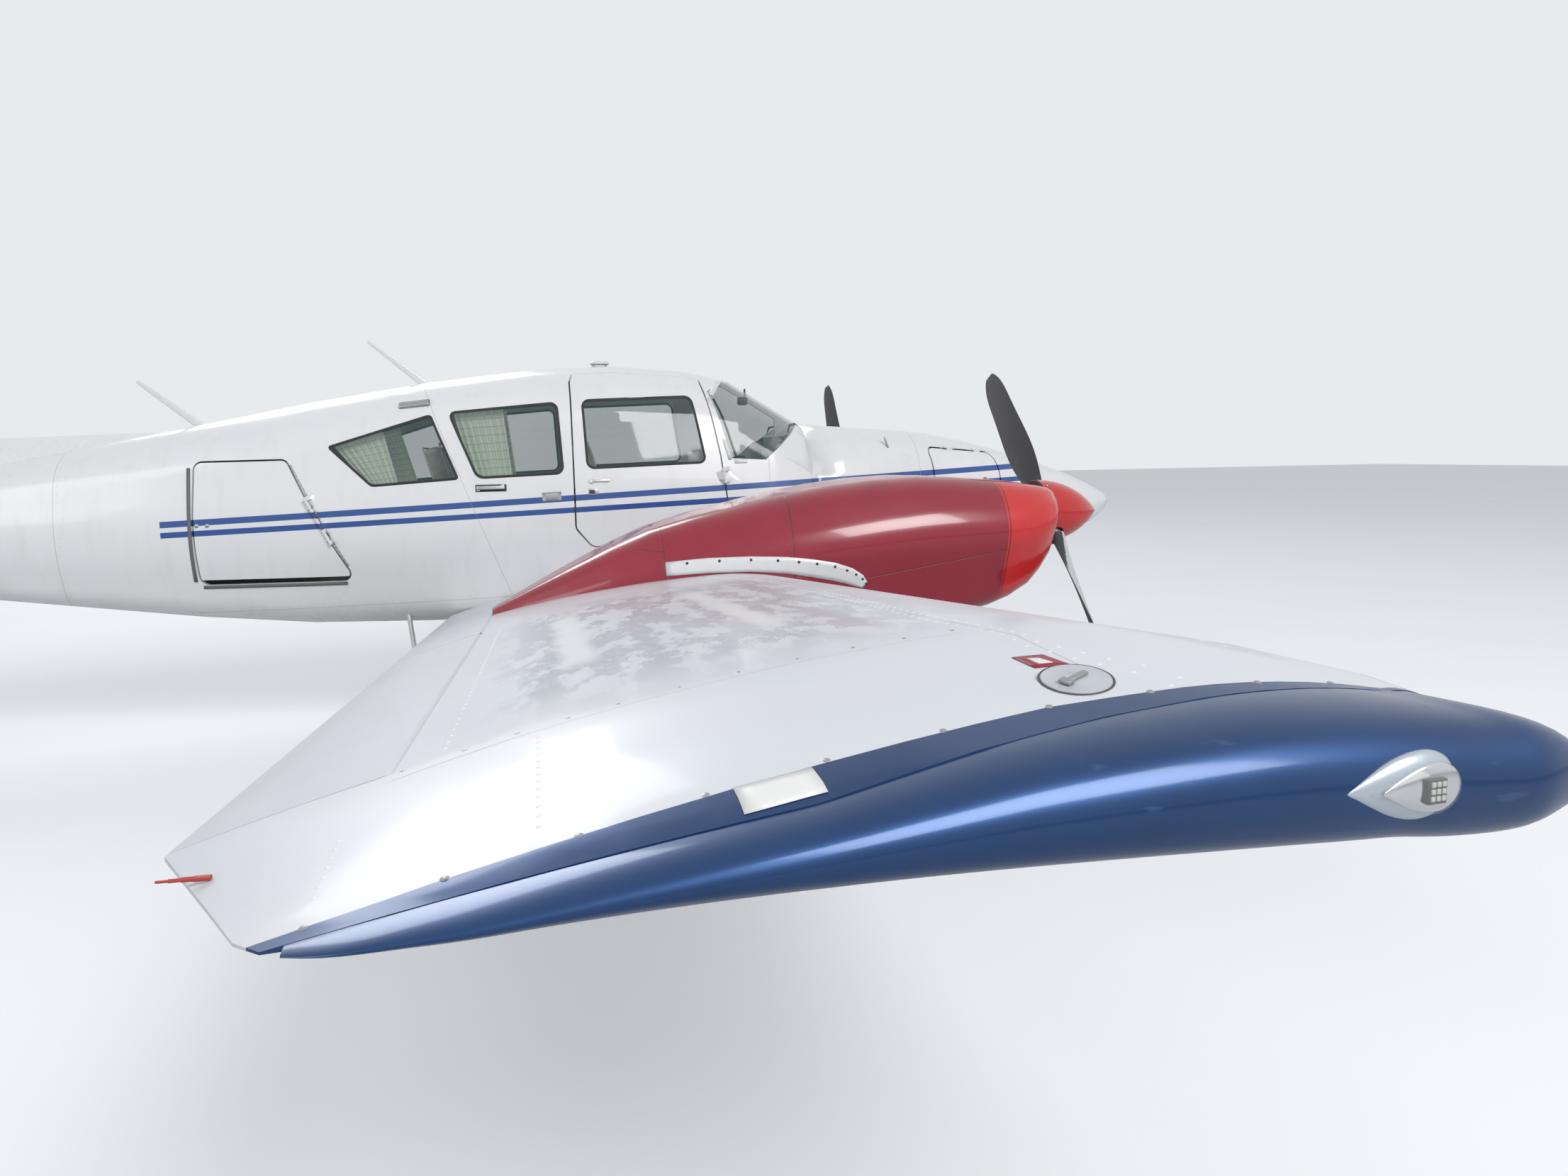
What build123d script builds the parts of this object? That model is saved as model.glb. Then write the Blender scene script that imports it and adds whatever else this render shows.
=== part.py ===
from build123d import *

import os
from math import cos, radians, sin, tan

# Twin-engine light aircraft with a low wing and a tricycle gear, parked on its wheels.
# Millimetres. +X is forward, +Y is to port and +Z is up. The origin is on the ground, below the
# middle of the aircraft's box. "right" is starboard, "left" is port.

# Overall
length = 9210
span = 11340
height = 3130
nose_x = length / 2
tail_x = -length / 2
pin_gap = 0.3
move_gap = 6

# Fuselage
wall = 35
pane = 6
door_gap = 9
door_rabbet = 40
baggage_gap = 9
sill_gap = 27
roof_seam_z = 1885
floor_z = 860
windscreen_base_x = 2415
seam_top = (-485, 1789)
seam_bottom = (-20, 619)
bay_back_x = -1150
firewall_panel_x = 2300
hatch_z = 1250
hatch_radius = 160
nose_bay_back_x = 2900
nose_bay_floor_z = 1020
window_inner_y = 250
tail_hollow_end_x = -3150
tail_wall = 26
# x, bottom, top, half width
nose_stations = (
    (windscreen_base_x, 625, 1705, 585),
    (2850, 655, 1678, 530),
    (3270, 712, 1642, 455),
    (3760, 820, 1533, 355),
    (4180, 935, 1403, 238),
    (4430, 1040, 1299, 138),
    (4560, 1115, 1232, 62),
    (nose_x, 1165, 1197, 16),
)
cabin_stations = (
    (windscreen_base_x, 625, 1705, 585),
    (2200, 617, 1838, 600),
    (1980, 613, 1970, 608),
    (1700, 612, 2032, 613),
    (1300, 612, 2060, 615),
    (800, 612, 2035, 615),
    (236, 612, 1963, 610),
    (-400, 630, 1853, 580),
    (-978, 685, 1734, 520),
    (-1970, 812, 1536, 385),
    (-3000, 925, 1345, 235),
    (-3700, 1000, 1235, 128),
    (-4200, 1062, 1200, 62),
    (-4340, 1100, 1165, 28),
)

# Glass and doors, as side views of x and z
windscreen_outline = (
    (2420, 1737), (2135, 1495), (1935, 1505), (1820, 1894), (2020, 2011), (2300, 2000),
)
front_window_outline = ((1091, 1846), (1716, 1868), (1785, 1480), (1106, 1458))
middle_window_outline = ((370, 1782), (963, 1835), (984, 1434), (514, 1416))
rear_window_outline = ((-255, 1602), (285, 1771), (424, 1415), (-34, 1384))
window_corner = 45
post_half = 18
cabin_door_outline = (
    (1030, 1130), (1120, 1020), (1800, 1020), (1912, 1150), (1870, 1520), (1755, 2150), (1100, 2150), (1030, 1950),
)
cabin_door_corner = 60
cabin_door_roof_y = 270
baggage_door_outline = ((-940, 880), (-935, 1535), (-468, 1541), (-150, 880))
baggage_door_corner = 45
nose_door_outline = ((3225, 1070), (3225, 1560), (3690, 1520), (3690, 1110))
nose_door_corner = 50
# how the side slants in plan at each baggage door, in degrees, with a point of it and the cut's depth
baggage_slant = -8
baggage_face = (-550, 540)
nose_slant = 17.1
nose_face = (3457, 380)
baggage_depth = 230
nose_depth = 200

# Hinges: a point of each axis, its direction, the way out from the skin and where the knuckles lie
hinge_radius = 7
hinge_pin = 3
knuckle = 44
leaf_thickness = 6
cabin_hinge = ((1860, -605, 1520), (-0.139, 0, 0.990), (0, -1, 0))
cabin_hinge_places = (-300, -110)
cabin_leaf_reach = 62
baggage_hinge = ((-309, -575, 1210.5), (-0.4335, 0, 0.9011), (0, -1, 0))
baggage_hinge_places = (-95, 0, 95)
baggage_leaf_reach = 50
nose_hinge = ((3457, -268, 1541), (-0.953, -0.293, 0.075), (0.259, -0.660, 0.705))
nose_hinge_places = (-110, 110)
nose_leaf_reach = 42

# Aerials on the roof, with base and tip as x and z, and a fitting ahead of them
aerials = {"aerial_front": ((236, 1940), (-75, 2201)), "aerial_rear": ((-978, 1700), (-1293, 1976))}
aerial_base = (20, 9)
aerial_tip = (5, 3)
puck_x = 1228
puck_radius = 46
puck_top = 2076

# Boarding step below the right wing's root
step_top = (99, -400, 700)
step_foot = (129, -420, 440)
step_radius = 13
step_tread = 120

# Wing
chord = 1700
trailing_x = 335
dihedral = 4.41
reference_y = 5000
reference_z = 1002
incidence_rise = 0.06
root_y = 450
root_leading_x = 2260
nacelle_side_y = 1350
hinge_x = 610
surface_nose = 42
flap_cove = 12
surface_pin = 6
surface_pin_reach = 36
aileron_inner_y = 2800
aileron_outer_y = 5150
flap_inner_y = 645
flap_outer_y = 2785
# y, leading edge x, trailing edge x, thickness share
tip_start_y = 5165
tip_stations = (
    (tip_start_y, 2035, 335, 1.0),
    (5420, 2045, 455, 0.88),
    (5560, 2045, 520, 0.66),
    (5640, 2025, 590, 0.38),
    (span / 2, 1950, 700, 0.12),
)
# the cap's inner edge in plan, as x and y
cap_edge = ((480, 5600), (1120, 5590), (1490, 5535), (1945, 5500), (2100, 5480))
lamp_front_x = 1876
lamp_back_x = 1716
lamp_radius = 33
lamp_z = 1166

# Nacelles and propellers
engine_y = 1800
hub_z = 1228
cowl_wall = 25
firewall_x = 2120
cowl_front_x = 3195
cowl_inner_front_x = 3120
# x, bottom, top, half width
nacelle_stations = (
    (cowl_front_x, 1095, 1345, 300),
    (3150, 1030, 1357, 372),
    (3040, 905, 1376, 430),
    (2850, 815, 1400, 458),
    (2500, 742, 1418, 474),
    (2100, 682, 1385, 462),
    (1700, 645, 1308, 405),
    (1300, 640, 1205, 325),
    (950, 672, 1045, 230),
    (620, 775, 872, 70),
)
engine_length = 850
# half of the engine block's end view, outwards and up from the crankshaft
engine_outline = ((180, 115), (365, 5), (365, -50), (310, -210), (190, -250))
crank_radius = 40
inlet_width = 130
inlet_height = 95
inlet_y = 215
shaft_room = 20
propeller_x = 3260
propeller_radius = 978
hub_radius = 72
shank_radius = 36
spinner_radius = 155
spinner_back_x = 3206
spinner_tip_x = 3531
spinner_hole = 48
# radius, chord, thickness, pitch
blade_stations = (
    (165, 84, 56, 58),
    (300, 128, 34, 44),
    (520, 150, 21, 32),
    (760, 140, 13, 24),
    (930, 104, 9, 19),
    (propeller_radius, 58, 6, 17),
)
propeller_lean = {"right": -44.6, "left": -29.6}

# Undercarriage
main_wheel_x = 1050
main_wheel_y = 1725
main_tyre_radius = 238
main_tyre_width = 178
main_strut_y = 1880
trunnion_z = 722
trunnion_radius = 26
oleo_foot_z = 430
brace_x = 1640
brace_foot_z = 500
brace_radius = 18
link_x = 900
link_z = 340
link_radius = 12
nose_cylinder_foot_z = 505
nose_piston_top_z = 780
nose_brace_x = 2760
nose_brace_z = 850
fork_z = 477
fork_half = 118
nose_wheel_x = 3340
nose_tyre_radius = 222
nose_tyre_width = 160
rim_radius = 82
strut_radius = 46
piston_radius = 29
axle_radius = 19
well_half = 170
well_front_x = 1900
well_back_x = 880
well_roof_z = 775
nose_well_half = 140
nose_well_front_x = 3470
nose_well_back_x = 2600
nose_well_roof_z = 940
gear_door = 9
nose_door_back_x = 2700
nose_door_front_x = 3220
nose_door_low_z = 470
nose_door_depth = 250
main_door_back_x = 1300
main_door_low_z = 440
main_door_depth = 250

# Mooring rings below the wings and the tail
ring_radius = 9.5
ring_wall = 9
ring_thickness = 10
wing_ring_x = 1250
wing_ring_y = 4300
wing_ring_z = 945
wing_lug_reach = 45
tail_ring_x = -3900
tail_ring_z = 1000
tail_lug_reach = 60

# Tail
stabilator_pivot_x = -3720
stabilator_z = 1118
stabilator_half_span = 1905
stabilator_spar = 36
# y, leading edge x, trailing edge x, thickness
stabilator_stations = (
    (190, -3425, -4120, 74),
    (370, -3425, -4370, 74),
    (1800, -3455, -4370, 62),
    (1880, -3510, -4335, 40),
    (stabilator_half_span, -3600, -4250, 16),
)
# z, leading edge x, thickness at the root and at the top
fin_stations = ((1150, -2135, 110), (2980, -3640, 84), (3090, -3800, 60), (height, -3960, 26))
rudder_hinge_x = -4110
rudder_bottom_z = 1228
rudder_nose = 27
# z, hinge, trailing edge x, thickness
rudder_stations = (
    (rudder_bottom_z, rudder_hinge_x, -4540, 54),
    (1500, rudder_hinge_x, tail_x, 54),
    (2950, rudder_hinge_x, -4540, 50),
    (height - 12, rudder_hinge_x, -4490, 30),
)
dorsal_outline = ((-1080, 1700), (-2050, 1672), (-2700, 1712), (-2950, 1300), (-1300, 1450))
dorsal_thickness = 60
rear_edge = 4

# Seats: cushion height, top of the back, and how far back and up the back's foot and top lie
cushion_z = 1130
back_top_z = 1640
back_thickness = 110
back_lean = 150
# x of the front, y, width and depth
seats = {
    "seat_front_right": (1700, -245, 430, 430),
    "seat_front_left": (1700, 245, 430, 430),
    "bench_middle": (860, 0, 900, 400),
    "bench_rear": (120, 0, 740, 360),
}

# Instrument panel as x and z, its pedestal, and the control wheels
panel_outline = ((2080, 1180), (2080, 1470), (2140, 1490), (2250, 1470), (2250, 1180))
panel_half = 470
pedestal_half = 120
yoke_y = 275
yoke_z = 1330
yoke_x = 1890
yoke_half = 110

os.makedirs("parts", exist_ok=True)


def save(piece, name):
    piece.label = name
    export_step(piece, f"parts/{name}.step")


def save_pair(right_piece, name):
    save(right_piece, f"{name}_right")
    save(mirror(right_piece, about=Plane.XZ), f"{name}_left")


def station(x, y=0):
    return Plane(origin=(x, y, 0), x_dir=(0, 1, 0), z_dir=(1, 0, 0))


def slice_at(y):
    return Plane(origin=(0, y, 0), x_dir=(1, 0, 0), z_dir=(0, -1, 0))


def finer(stations, extra):
    """The stations with extra ones in each gap, on smooth curves through the given ones."""
    rows = []
    for i in range(len(stations) - 1):
        before, here, there, after = (stations[min(max(i + k, 0), len(stations) - 1)] for k in (-1, 0, 1, 2))
        gap = there[0] - here[0]
        for step in range(extra + 1):
            t = step / (extra + 1)
            row = [here[0] + t * gap]
            for a, b, c, d in zip(before[1:], here[1:], there[1:], after[1:]):
                leave = gap * (c - a) / (there[0] - before[0])
                arrive = gap * (d - b) / (after[0] - here[0])
                row.append(b + t * leave + t**2 * (3 * (c - b) - 2 * leave - arrive)
                           + t**3 * (2 * (b - c) + leave + arrive))
            rows.append(tuple(row))
    return (*rows, stations[-1])


def hull_loft(stations, inset=0):
    """Fuselage body between stations, each a rounded eight-sided ring, set in by inset."""
    with BuildPart() as hull:
        for x, bottom, top, half in stations:
            w = half - inset
            low = bottom + inset
            tall = top - inset - low
            right = ((0.72 * w, low), (w, low + 0.42 * tall),
                     (0.80 * w, low + 0.86 * tall), (0.35 * w, low + tall))
            points = right + tuple((-y, z) for y, z in reversed(right))
            radii = [0.36 * w, 1.3 * w, 0.57 * w, 0.73 * w]
            with BuildSketch(station(x)):
                with BuildLine():
                    FilletPolyline(*points, radius=radii + radii[::-1], close=True)
                make_face()
        loft(ruled=True)
    return hull.part


def nacelle_loft(stations, inset=0):
    """Right engine nacelle between stations, each a rounded six-sided ring."""
    with BuildPart() as hull:
        for x, bottom, top, half in stations:
            w = half - inset
            low = bottom + inset
            tall = top - inset - low
            r = min(w, tall / 1.3)
            right = ((0.70 * w, low), (w, low + 0.66 * tall), (0.66 * w, low + tall))
            points = right + tuple((-y, z) for y, z in reversed(right))
            radii = [0.30 * r, 0.45 * r, 0.45 * r]
            with BuildSketch(station(x, -engine_y)):
                with BuildLine():
                    FilletPolyline(*points, radius=radii + radii[::-1], close=True)
                make_face()
        loft(ruled=True)
    return hull.part


def side_prism(outline, corner, y_from, y_to):
    """A side view's outline, its corners rounded, carried across from one y to another."""
    with BuildPart() as prism:
        with BuildSketch(Plane.XZ.offset(-y_from)) as view:
            with BuildLine():
                Polyline(*outline, close=True)
            make_face()
            if corner:
                fillet(view.vertices(), radius=corner)
        extrude(amount=y_from - y_to)
    return prism.part


def block(x0, x1, y0, y1, z0, z1):
    with BuildPart() as piece:
        with Locations(((x0 + x1) / 2, (y0 + y1) / 2, (z0 + z1) / 2)):
            Box(abs(x1 - x0), abs(y1 - y0), abs(z1 - z0))
    return piece.part


def rod(start, end, radius):
    start, end = Vector(*start), Vector(*end)
    with BuildPart() as piece:
        with BuildSketch(Plane(origin=start, z_dir=end - start)):
            Circle(radius)
        extrude(amount=(end - start).length)
    return piece.part


def panel_prism(outline, corner, slant, face, depth, gap=0):
    """A side view's outline, square to a side that slants in plan, carried in and out through the skin.
    What fills an opening is smaller by the gap all round."""
    x, y = face
    turn = radians(slant)
    across = Plane(origin=(x, -y, 0), x_dir=(cos(turn), sin(turn), 0), z_dir=(sin(turn), -cos(turn), 0))
    with BuildPart() as prism:
        with BuildSketch(across) as view:
            with BuildLine():
                Polyline(*[((corner_x - x) / cos(turn), z) for corner_x, z in outline], close=True)
            make_face()
            fillet(view.vertices(), radius=corner)
            if gap:
                offset(amount=-gap, mode=Mode.REPLACE)
        extrude(amount=depth, both=True)
    return prism.part


def hinge_parts(hinge, places, reach):
    """What the door and the frame carry of a hinge: knuckles on the axis with leaves into the wall."""
    point, along, out = Vector(*hinge[0]), Vector(*hinge[1]).normalized(), Vector(*hinge[2])
    to_door = out.cross(along)
    end = 0.7 * reach
    pieces = {}
    for name, side, spans in (("door", 1, ((-0.25, 0.5),)), ("frame", -1, ((-0.5, 0.24), (0.26, 0.24)))):
        with BuildPart() as part:
            for place in places:
                for start, share in spans:
                    foot = point + along * (place + start * 2 * knuckle)
                    with BuildSketch(Plane(origin=foot, x_dir=to_door, z_dir=along)):
                        Circle(hinge_radius)
                        with BuildLine():
                            Polyline((0, hinge_radius), (side * hinge_radius, 0), (side * end, -end),
                                     (side * (end - leaf_thickness), -end - leaf_thickness),
                                     (-side * 0.7 * hinge_radius, -0.7 * hinge_radius), close=True)
                        make_face()
                    extrude(amount=share * 2 * knuckle)
        pieces[name] = part.part
    with BuildPart() as pins:
        for place in places:
            add(rod(point + along * (place - knuckle), point + along * (place + knuckle), hinge_pin))
    with BuildPart() as bores:
        for place in places:
            add(rod(point + along * (place - knuckle), point + along * (place + knuckle), hinge_pin + pin_gap))
    return pieces["door"], pieces["frame"], pins.part, bores.part


def both(outline, corner, y_near, y_far):
    """The same cut through the right side and through the left side."""
    return side_prism(outline, corner, -y_near, -y_far), side_prism(outline, corner, y_near, y_far)


# Fuselage body, its inside and the thin layer that the glass lies in
nose_body = hull_loft(finer(nose_stations, 1))
cabin_body = hull_loft(cabin_stations)
cabin_inside = hull_loft(cabin_stations[:11], wall)
glass_inside = hull_loft(cabin_stations[:9], pane)
tail_inside = hull_loft(cabin_stations[8:12], tail_wall)
nose_inside = hull_loft(nose_stations[:5], wall)


def seam_at(z):
    """The slanted joint between cabin and rear fuselage, at a height."""
    slope = (seam_top[0] - seam_bottom[0]) / (seam_top[1] - seam_bottom[1])
    return seam_bottom[0] + slope * (z - seam_bottom[1]), z


below, above, beside = 300, 2300, 900
ahead_of_seam, behind_seam = (
    side_prism((seam_at(below), seam_at(above), (x, above), (x, below)), 0, -beside, beside)
    for x in (nose_x, tail_x)
)


def tie_down_lug(x, y, z, reach):
    """A lug for a mooring rope, its hole across the aircraft at x, y, z."""
    return block(x - ring_radius - ring_wall, x + ring_radius + ring_wall, y - ring_thickness / 2,
                 y + ring_thickness / 2, z - ring_radius - ring_wall, z + reach)


def tie_down_hole(x, y, z):
    return rod((x, y - ring_thickness, z), (x, y + ring_thickness, z), ring_radius)


def stabilator_rod(radius):
    """The tube across the tail on which the tailplane pivots, or a hole for it."""
    reach = stabilator_stations[1][0]
    return rod((stabilator_pivot_x, -reach, stabilator_z), (stabilator_pivot_x, reach, stabilator_z), radius)


# Whole right wing, from inside the fuselage to the tip
rise = tan(radians(dihedral))


def wing_loft(sections):
    """Wing between sections: flat-bottomed aerofoils whose chord line climbs to the leading edge."""
    with BuildPart() as stretch:
        for y, leading, trailing, share in sections:
            c = leading - trailing
            base = reference_z + rise * (y - reference_y) + incidence_rise * (trailing - trailing_x)
            curve = [
                (leading - u * c, base + (v * share + incidence_rise * (1 - u)) * c)
                for u, v in (
                    (0, 0), (0.02, 0.0352), (0.08, 0.0666), (0.17, 0.0884), (0.30, 0.098), (0.62, 0.0779),
                    (1, 0.003), (1, -0.001), (0.15, -0.030), (0.04, -0.0235),
                )
            ]
            with BuildSketch(slice_at(-y)):
                with BuildLine():
                    ThreePointArc(*curve[0:3])
                    ThreePointArc(*curve[2:5])
                    ThreePointArc(*curve[4:7])
                    Line(*curve[6:8])
                    Line(*curve[7:9])
                    ThreePointArc(curve[8], curve[9], curve[0])
                make_face()
        loft(ruled=True)
    return stretch.part


leading_x = trailing_x + chord
whole_wing = wing_loft((
    (root_y, root_leading_x, trailing_x, 1), (nacelle_side_y, leading_x, trailing_x, 1), *tip_stations,
))


# The ailerons and flaps turn on a tube of their nose's size along the wing's rear
def hinge_point(y, drop=0):
    """The middle of the wing's thickness at the hinge line, or a point below it."""
    middle = 0.0176 * chord + incidence_rise * (hinge_x - trailing_x)
    return hinge_x, -y, reference_z + rise * (y - reference_y) + middle - drop


def surface_pins(radius):
    """Pins from the wing's ribs into the surfaces' ends, or their bores."""
    middles = flap_inner_y, (flap_outer_y + aileron_inner_y) / 2, aileron_outer_y
    return [rod(hinge_point(y - surface_pin_reach), hinge_point(y + surface_pin_reach), radius) for y in middles]


def surface_parts(inner_y, outer_y, cove):
    """One hinged surface of the right wing, and the room that the wing leaves for it."""
    with BuildPart() as behind:
        add(block(0, hinge_x, -outer_y, -inner_y, below, above))
        add(rod(hinge_point(inner_y), hinge_point(outer_y), surface_nose))
        add(block(0, hinge_x + chord / 2, -outer_y, -inner_y, below, above), mode=Mode.INTERSECT)
    with BuildPart() as surface:
        add(whole_wing)
        add(behind.part, mode=Mode.INTERSECT)
        add(surface_pins(surface_pin + pin_gap), mode=Mode.SUBTRACT)
    with BuildPart() as room:
        add(block(0, hinge_x, -outer_y - move_gap, -inner_y + move_gap, below, above))
        for drop in (0, cove):
            ends = [hinge_point(y, drop) for y in (inner_y - move_gap, outer_y + move_gap)]
            add(rod(*ends, surface_nose + move_gap))
    return surface.part, room.part


aileron, aileron_room = surface_parts(aileron_inner_y, aileron_outer_y, move_gap / 2)
flap, flap_room = surface_parts(flap_inner_y, flap_outer_y, flap_cove)
save_pair(aileron, "aileron")
save_pair(flap, "flap")

with BuildPart() as cap_side:
    with BuildSketch(Plane.XY.offset(below)):
        with BuildLine():
            Polyline(*[(x, -y) for x, y in cap_edge], (cap_edge[-1][0], -span), (-chord, -span),
                     (-chord, -cap_edge[0][1]), close=True)
        make_face()
    extrude(amount=above - below)

with BuildPart() as tip_cap:
    add(whole_wing)
    add(cap_side.part, mode=Mode.INTERSECT)
save_pair(tip_cap.part, "tip_cap")

# Navigation lamp, a teardrop that straddles the tip's edge
with BuildPart() as nav_lamp:
    lamp_y = -span / 2 + lamp_radius
    widest = lamp_front_x - lamp_radius, lamp_radius
    with BuildSketch(Plane(origin=(0, lamp_y, lamp_z), x_dir=(1, 0, 0), z_dir=(0, -1, 0))):
        with BuildLine():
            TangentArc((lamp_front_x, 0), widest, tangent=(0, 1))
            TangentArc(widest, (lamp_back_x, 0), tangent=(-1, 0))
            Line((lamp_back_x, 0), (lamp_front_x, 0))
        make_face()
    revolve(axis=Axis((0, lamp_y, lamp_z), (1, 0, 0)))
    add(whole_wing, mode=Mode.SUBTRACT)
save_pair(nav_lamp.part, "nav_lamp")

with BuildPart() as wing:
    add(whole_wing)
    add(cap_side.part, mode=Mode.SUBTRACT)
    add(cabin_body, mode=Mode.SUBTRACT)
    add([aileron_room, flap_room], mode=Mode.SUBTRACT)
    add(surface_pins(surface_pin))
    add(tie_down_lug(wing_ring_x, -wing_ring_y, wing_ring_z, wing_lug_reach))
    add(tie_down_hole(wing_ring_x, -wing_ring_y, wing_ring_z), mode=Mode.SUBTRACT)
save_pair(wing.part, "wing")

# Nose section with its baggage bay and the nose wheel's well
with BuildPart() as nose_bay:
    add(nose_inside)
    add(block(nose_bay_back_x, nose_x, -beside, beside, nose_bay_floor_z, above), mode=Mode.INTERSECT)
with BuildPart() as nose_wall:
    add(nose_body)
    add(nose_bay.part, mode=Mode.SUBTRACT)
nose_opening, nose_panel = (
    panel_prism(nose_door_outline, nose_door_corner, nose_slant, nose_face, nose_depth, gap)
    for gap in (0, baggage_gap)
)
nose_door_leaf, nose_frame_leaf, nose_pins, nose_bores = hinge_parts(nose_hinge, nose_hinge_places, nose_leaf_reach)
with BuildPart() as nose_section:
    add(nose_wall.part)
    add(nose_opening, mode=Mode.SUBTRACT)
    add(block(nose_well_back_x, nose_well_front_x, -nose_well_half, nose_well_half, below, nose_well_roof_z),
        mode=Mode.SUBTRACT)
    for side in (-1, 1):
        add(block(nose_door_back_x, nose_door_front_x, side * nose_well_half, side * (nose_well_half + gear_door),
                  nose_door_low_z, nose_door_low_z + nose_door_depth))
    add(nose_frame_leaf)
    add(nose_bores, mode=Mode.SUBTRACT)
    add(nose_pins)
save(nose_section.part, "nose_section")

with BuildPart() as nose_baggage_door:
    add(nose_wall.part)
    add(nose_panel, mode=Mode.INTERSECT)
    add(nose_door_leaf)
    add(nose_bores, mode=Mode.SUBTRACT)
save(nose_baggage_door.part, "nose_baggage_door")

# Cabin and baggage compartment share one inside, and the tail cone is hollow behind a holed bulkhead
with BuildPart() as cabin_room:
    add(cabin_inside)
    add(block(bay_back_x, firewall_panel_x, -beside, beside, floor_z, above), mode=Mode.INTERSECT)
with BuildPart() as tail_room:
    add(tail_inside)
    add(block(tail_hollow_end_x, bay_back_x - wall, -beside, beside, below, above), mode=Mode.INTERSECT)
hatch = rod((bay_back_x + wall, 0, hatch_z), (bay_back_x - 3 * wall, 0, hatch_z), hatch_radius)
with BuildPart() as cabin_wall:
    add(cabin_body)
    add([cabin_room.part, tail_room.part, hatch], mode=Mode.SUBTRACT)

front_cut = both(front_window_outline, window_corner, window_inner_y, beside)
middle_cut = both(middle_window_outline, window_corner, window_inner_y, beside)
rear_cut = both(rear_window_outline, window_corner / 2, window_inner_y, beside)
windscreen_cut = side_prism(windscreen_outline, 0, -beside, beside)
with BuildPart() as glass_layer:
    add(cabin_body)
    add(glass_inside, mode=Mode.SUBTRACT)
    add(block(cabin_stations[8][0], windscreen_base_x, -beside, beside, floor_z, above), mode=Mode.INTERSECT)
with BuildPart() as windscreen:
    add(glass_layer.part)
    add(windscreen_cut, mode=Mode.INTERSECT)
save(windscreen.part, "windscreen")

with BuildPart() as windscreen_halves:
    add(windscreen_cut)
    add(block(0, nose_x, -post_half, post_half, floor_z, above), mode=Mode.SUBTRACT)
cabin_door_leaf, cabin_frame_leaf, cabin_pins, cabin_bores = hinge_parts(
    cabin_hinge, cabin_hinge_places, cabin_leaf_reach
)
with BuildPart() as cabin_shell:
    add(cabin_wall.part)
    add(ahead_of_seam, mode=Mode.INTERSECT)
    add(side_prism(cabin_door_outline, cabin_door_corner, -cabin_door_roof_y, -beside), mode=Mode.SUBTRACT)
    add([windscreen.part, *windscreen_halves.part.solids(), front_cut[1], *middle_cut, *rear_cut],
        mode=Mode.SUBTRACT)
    add([cabin_frame_leaf, rod((puck_x, 0, puck_top - 2 * wall), (puck_x, 0, puck_top), puck_radius)])
    add(cabin_bores, mode=Mode.SUBTRACT)
    add(cabin_pins)
    # The roof skin is a panel of its own above the windows and the door
    split(bisect_by=Plane.XY.offset(roof_seam_z), keep=Keep.BOTH)
save(cabin_shell.part, "cabin_shell")

# Aerials, tapered from the roof to the tip, and the boarding step
for name, ((base_x, base_z), (end_x, end_z)) in aerials.items():
    foot, end = Vector(base_x, 0, base_z), Vector(end_x, 0, end_z)
    with BuildPart() as aerial:
        for origin, (wide, thick) in ((foot - (end - foot) * 0.1, aerial_base), (end, aerial_tip)):
            with BuildSketch(Plane(origin=origin, x_dir=(0, 1, 0), z_dir=end - foot)):
                Ellipse(thick, wide)
        loft(ruled=True)
        add(cabin_body, mode=Mode.SUBTRACT)
    save(aerial.part, name)
with BuildPart() as boarding_step:
    add(rod(step_top, step_foot, step_radius))
    add(rod((step_foot[0], step_foot[1] - step_tread / 2, step_foot[2]),
            (step_foot[0], step_foot[1] + step_tread / 2, step_foot[2]), step_radius))
    add(cabin_body, mode=Mode.SUBTRACT)
save(boarding_step.part, "boarding_step")

for cut, name in (
    (middle_cut[1], "window_left_middle"), (middle_cut[0], "window_right_middle"),
    (rear_cut[1], "window_left_rear"), (rear_cut[0], "window_right_rear"),
    (front_cut[1], "window_left_front"), (front_cut[0], "cabin_door_window"),
):
    with BuildPart() as glass:
        add(glass_layer.part)
        add(cut, mode=Mode.INTERSECT)
    save(glass.part, name)

with BuildPart() as cabin_door_panel:
    with BuildSketch(slice_at(-cabin_door_roof_y - door_gap)) as view:
        with BuildLine():
            Polyline(*cabin_door_outline, close=True)
        make_face()
        fillet(view.vertices(), radius=cabin_door_corner)
        offset(amount=-door_gap, mode=Mode.REPLACE)
    extrude(amount=beside)
# Behind its skin the door's rear edge steps in, because the edge swings rearwards as the door opens
with BuildPart() as cabin_door_step:
    add(glass_inside)
    add(block(0, cabin_door_outline[0][0] + door_rabbet, -beside, 0, floor_z, above), mode=Mode.INTERSECT)
with BuildPart() as cabin_door:
    add(cabin_wall.part)
    add(cabin_door_panel.part, mode=Mode.INTERSECT)
    add(cabin_door_leaf)
    add([front_cut[0], cabin_bores, cabin_door_step.part], mode=Mode.SUBTRACT)
save(cabin_door.part, "cabin_door")

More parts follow.
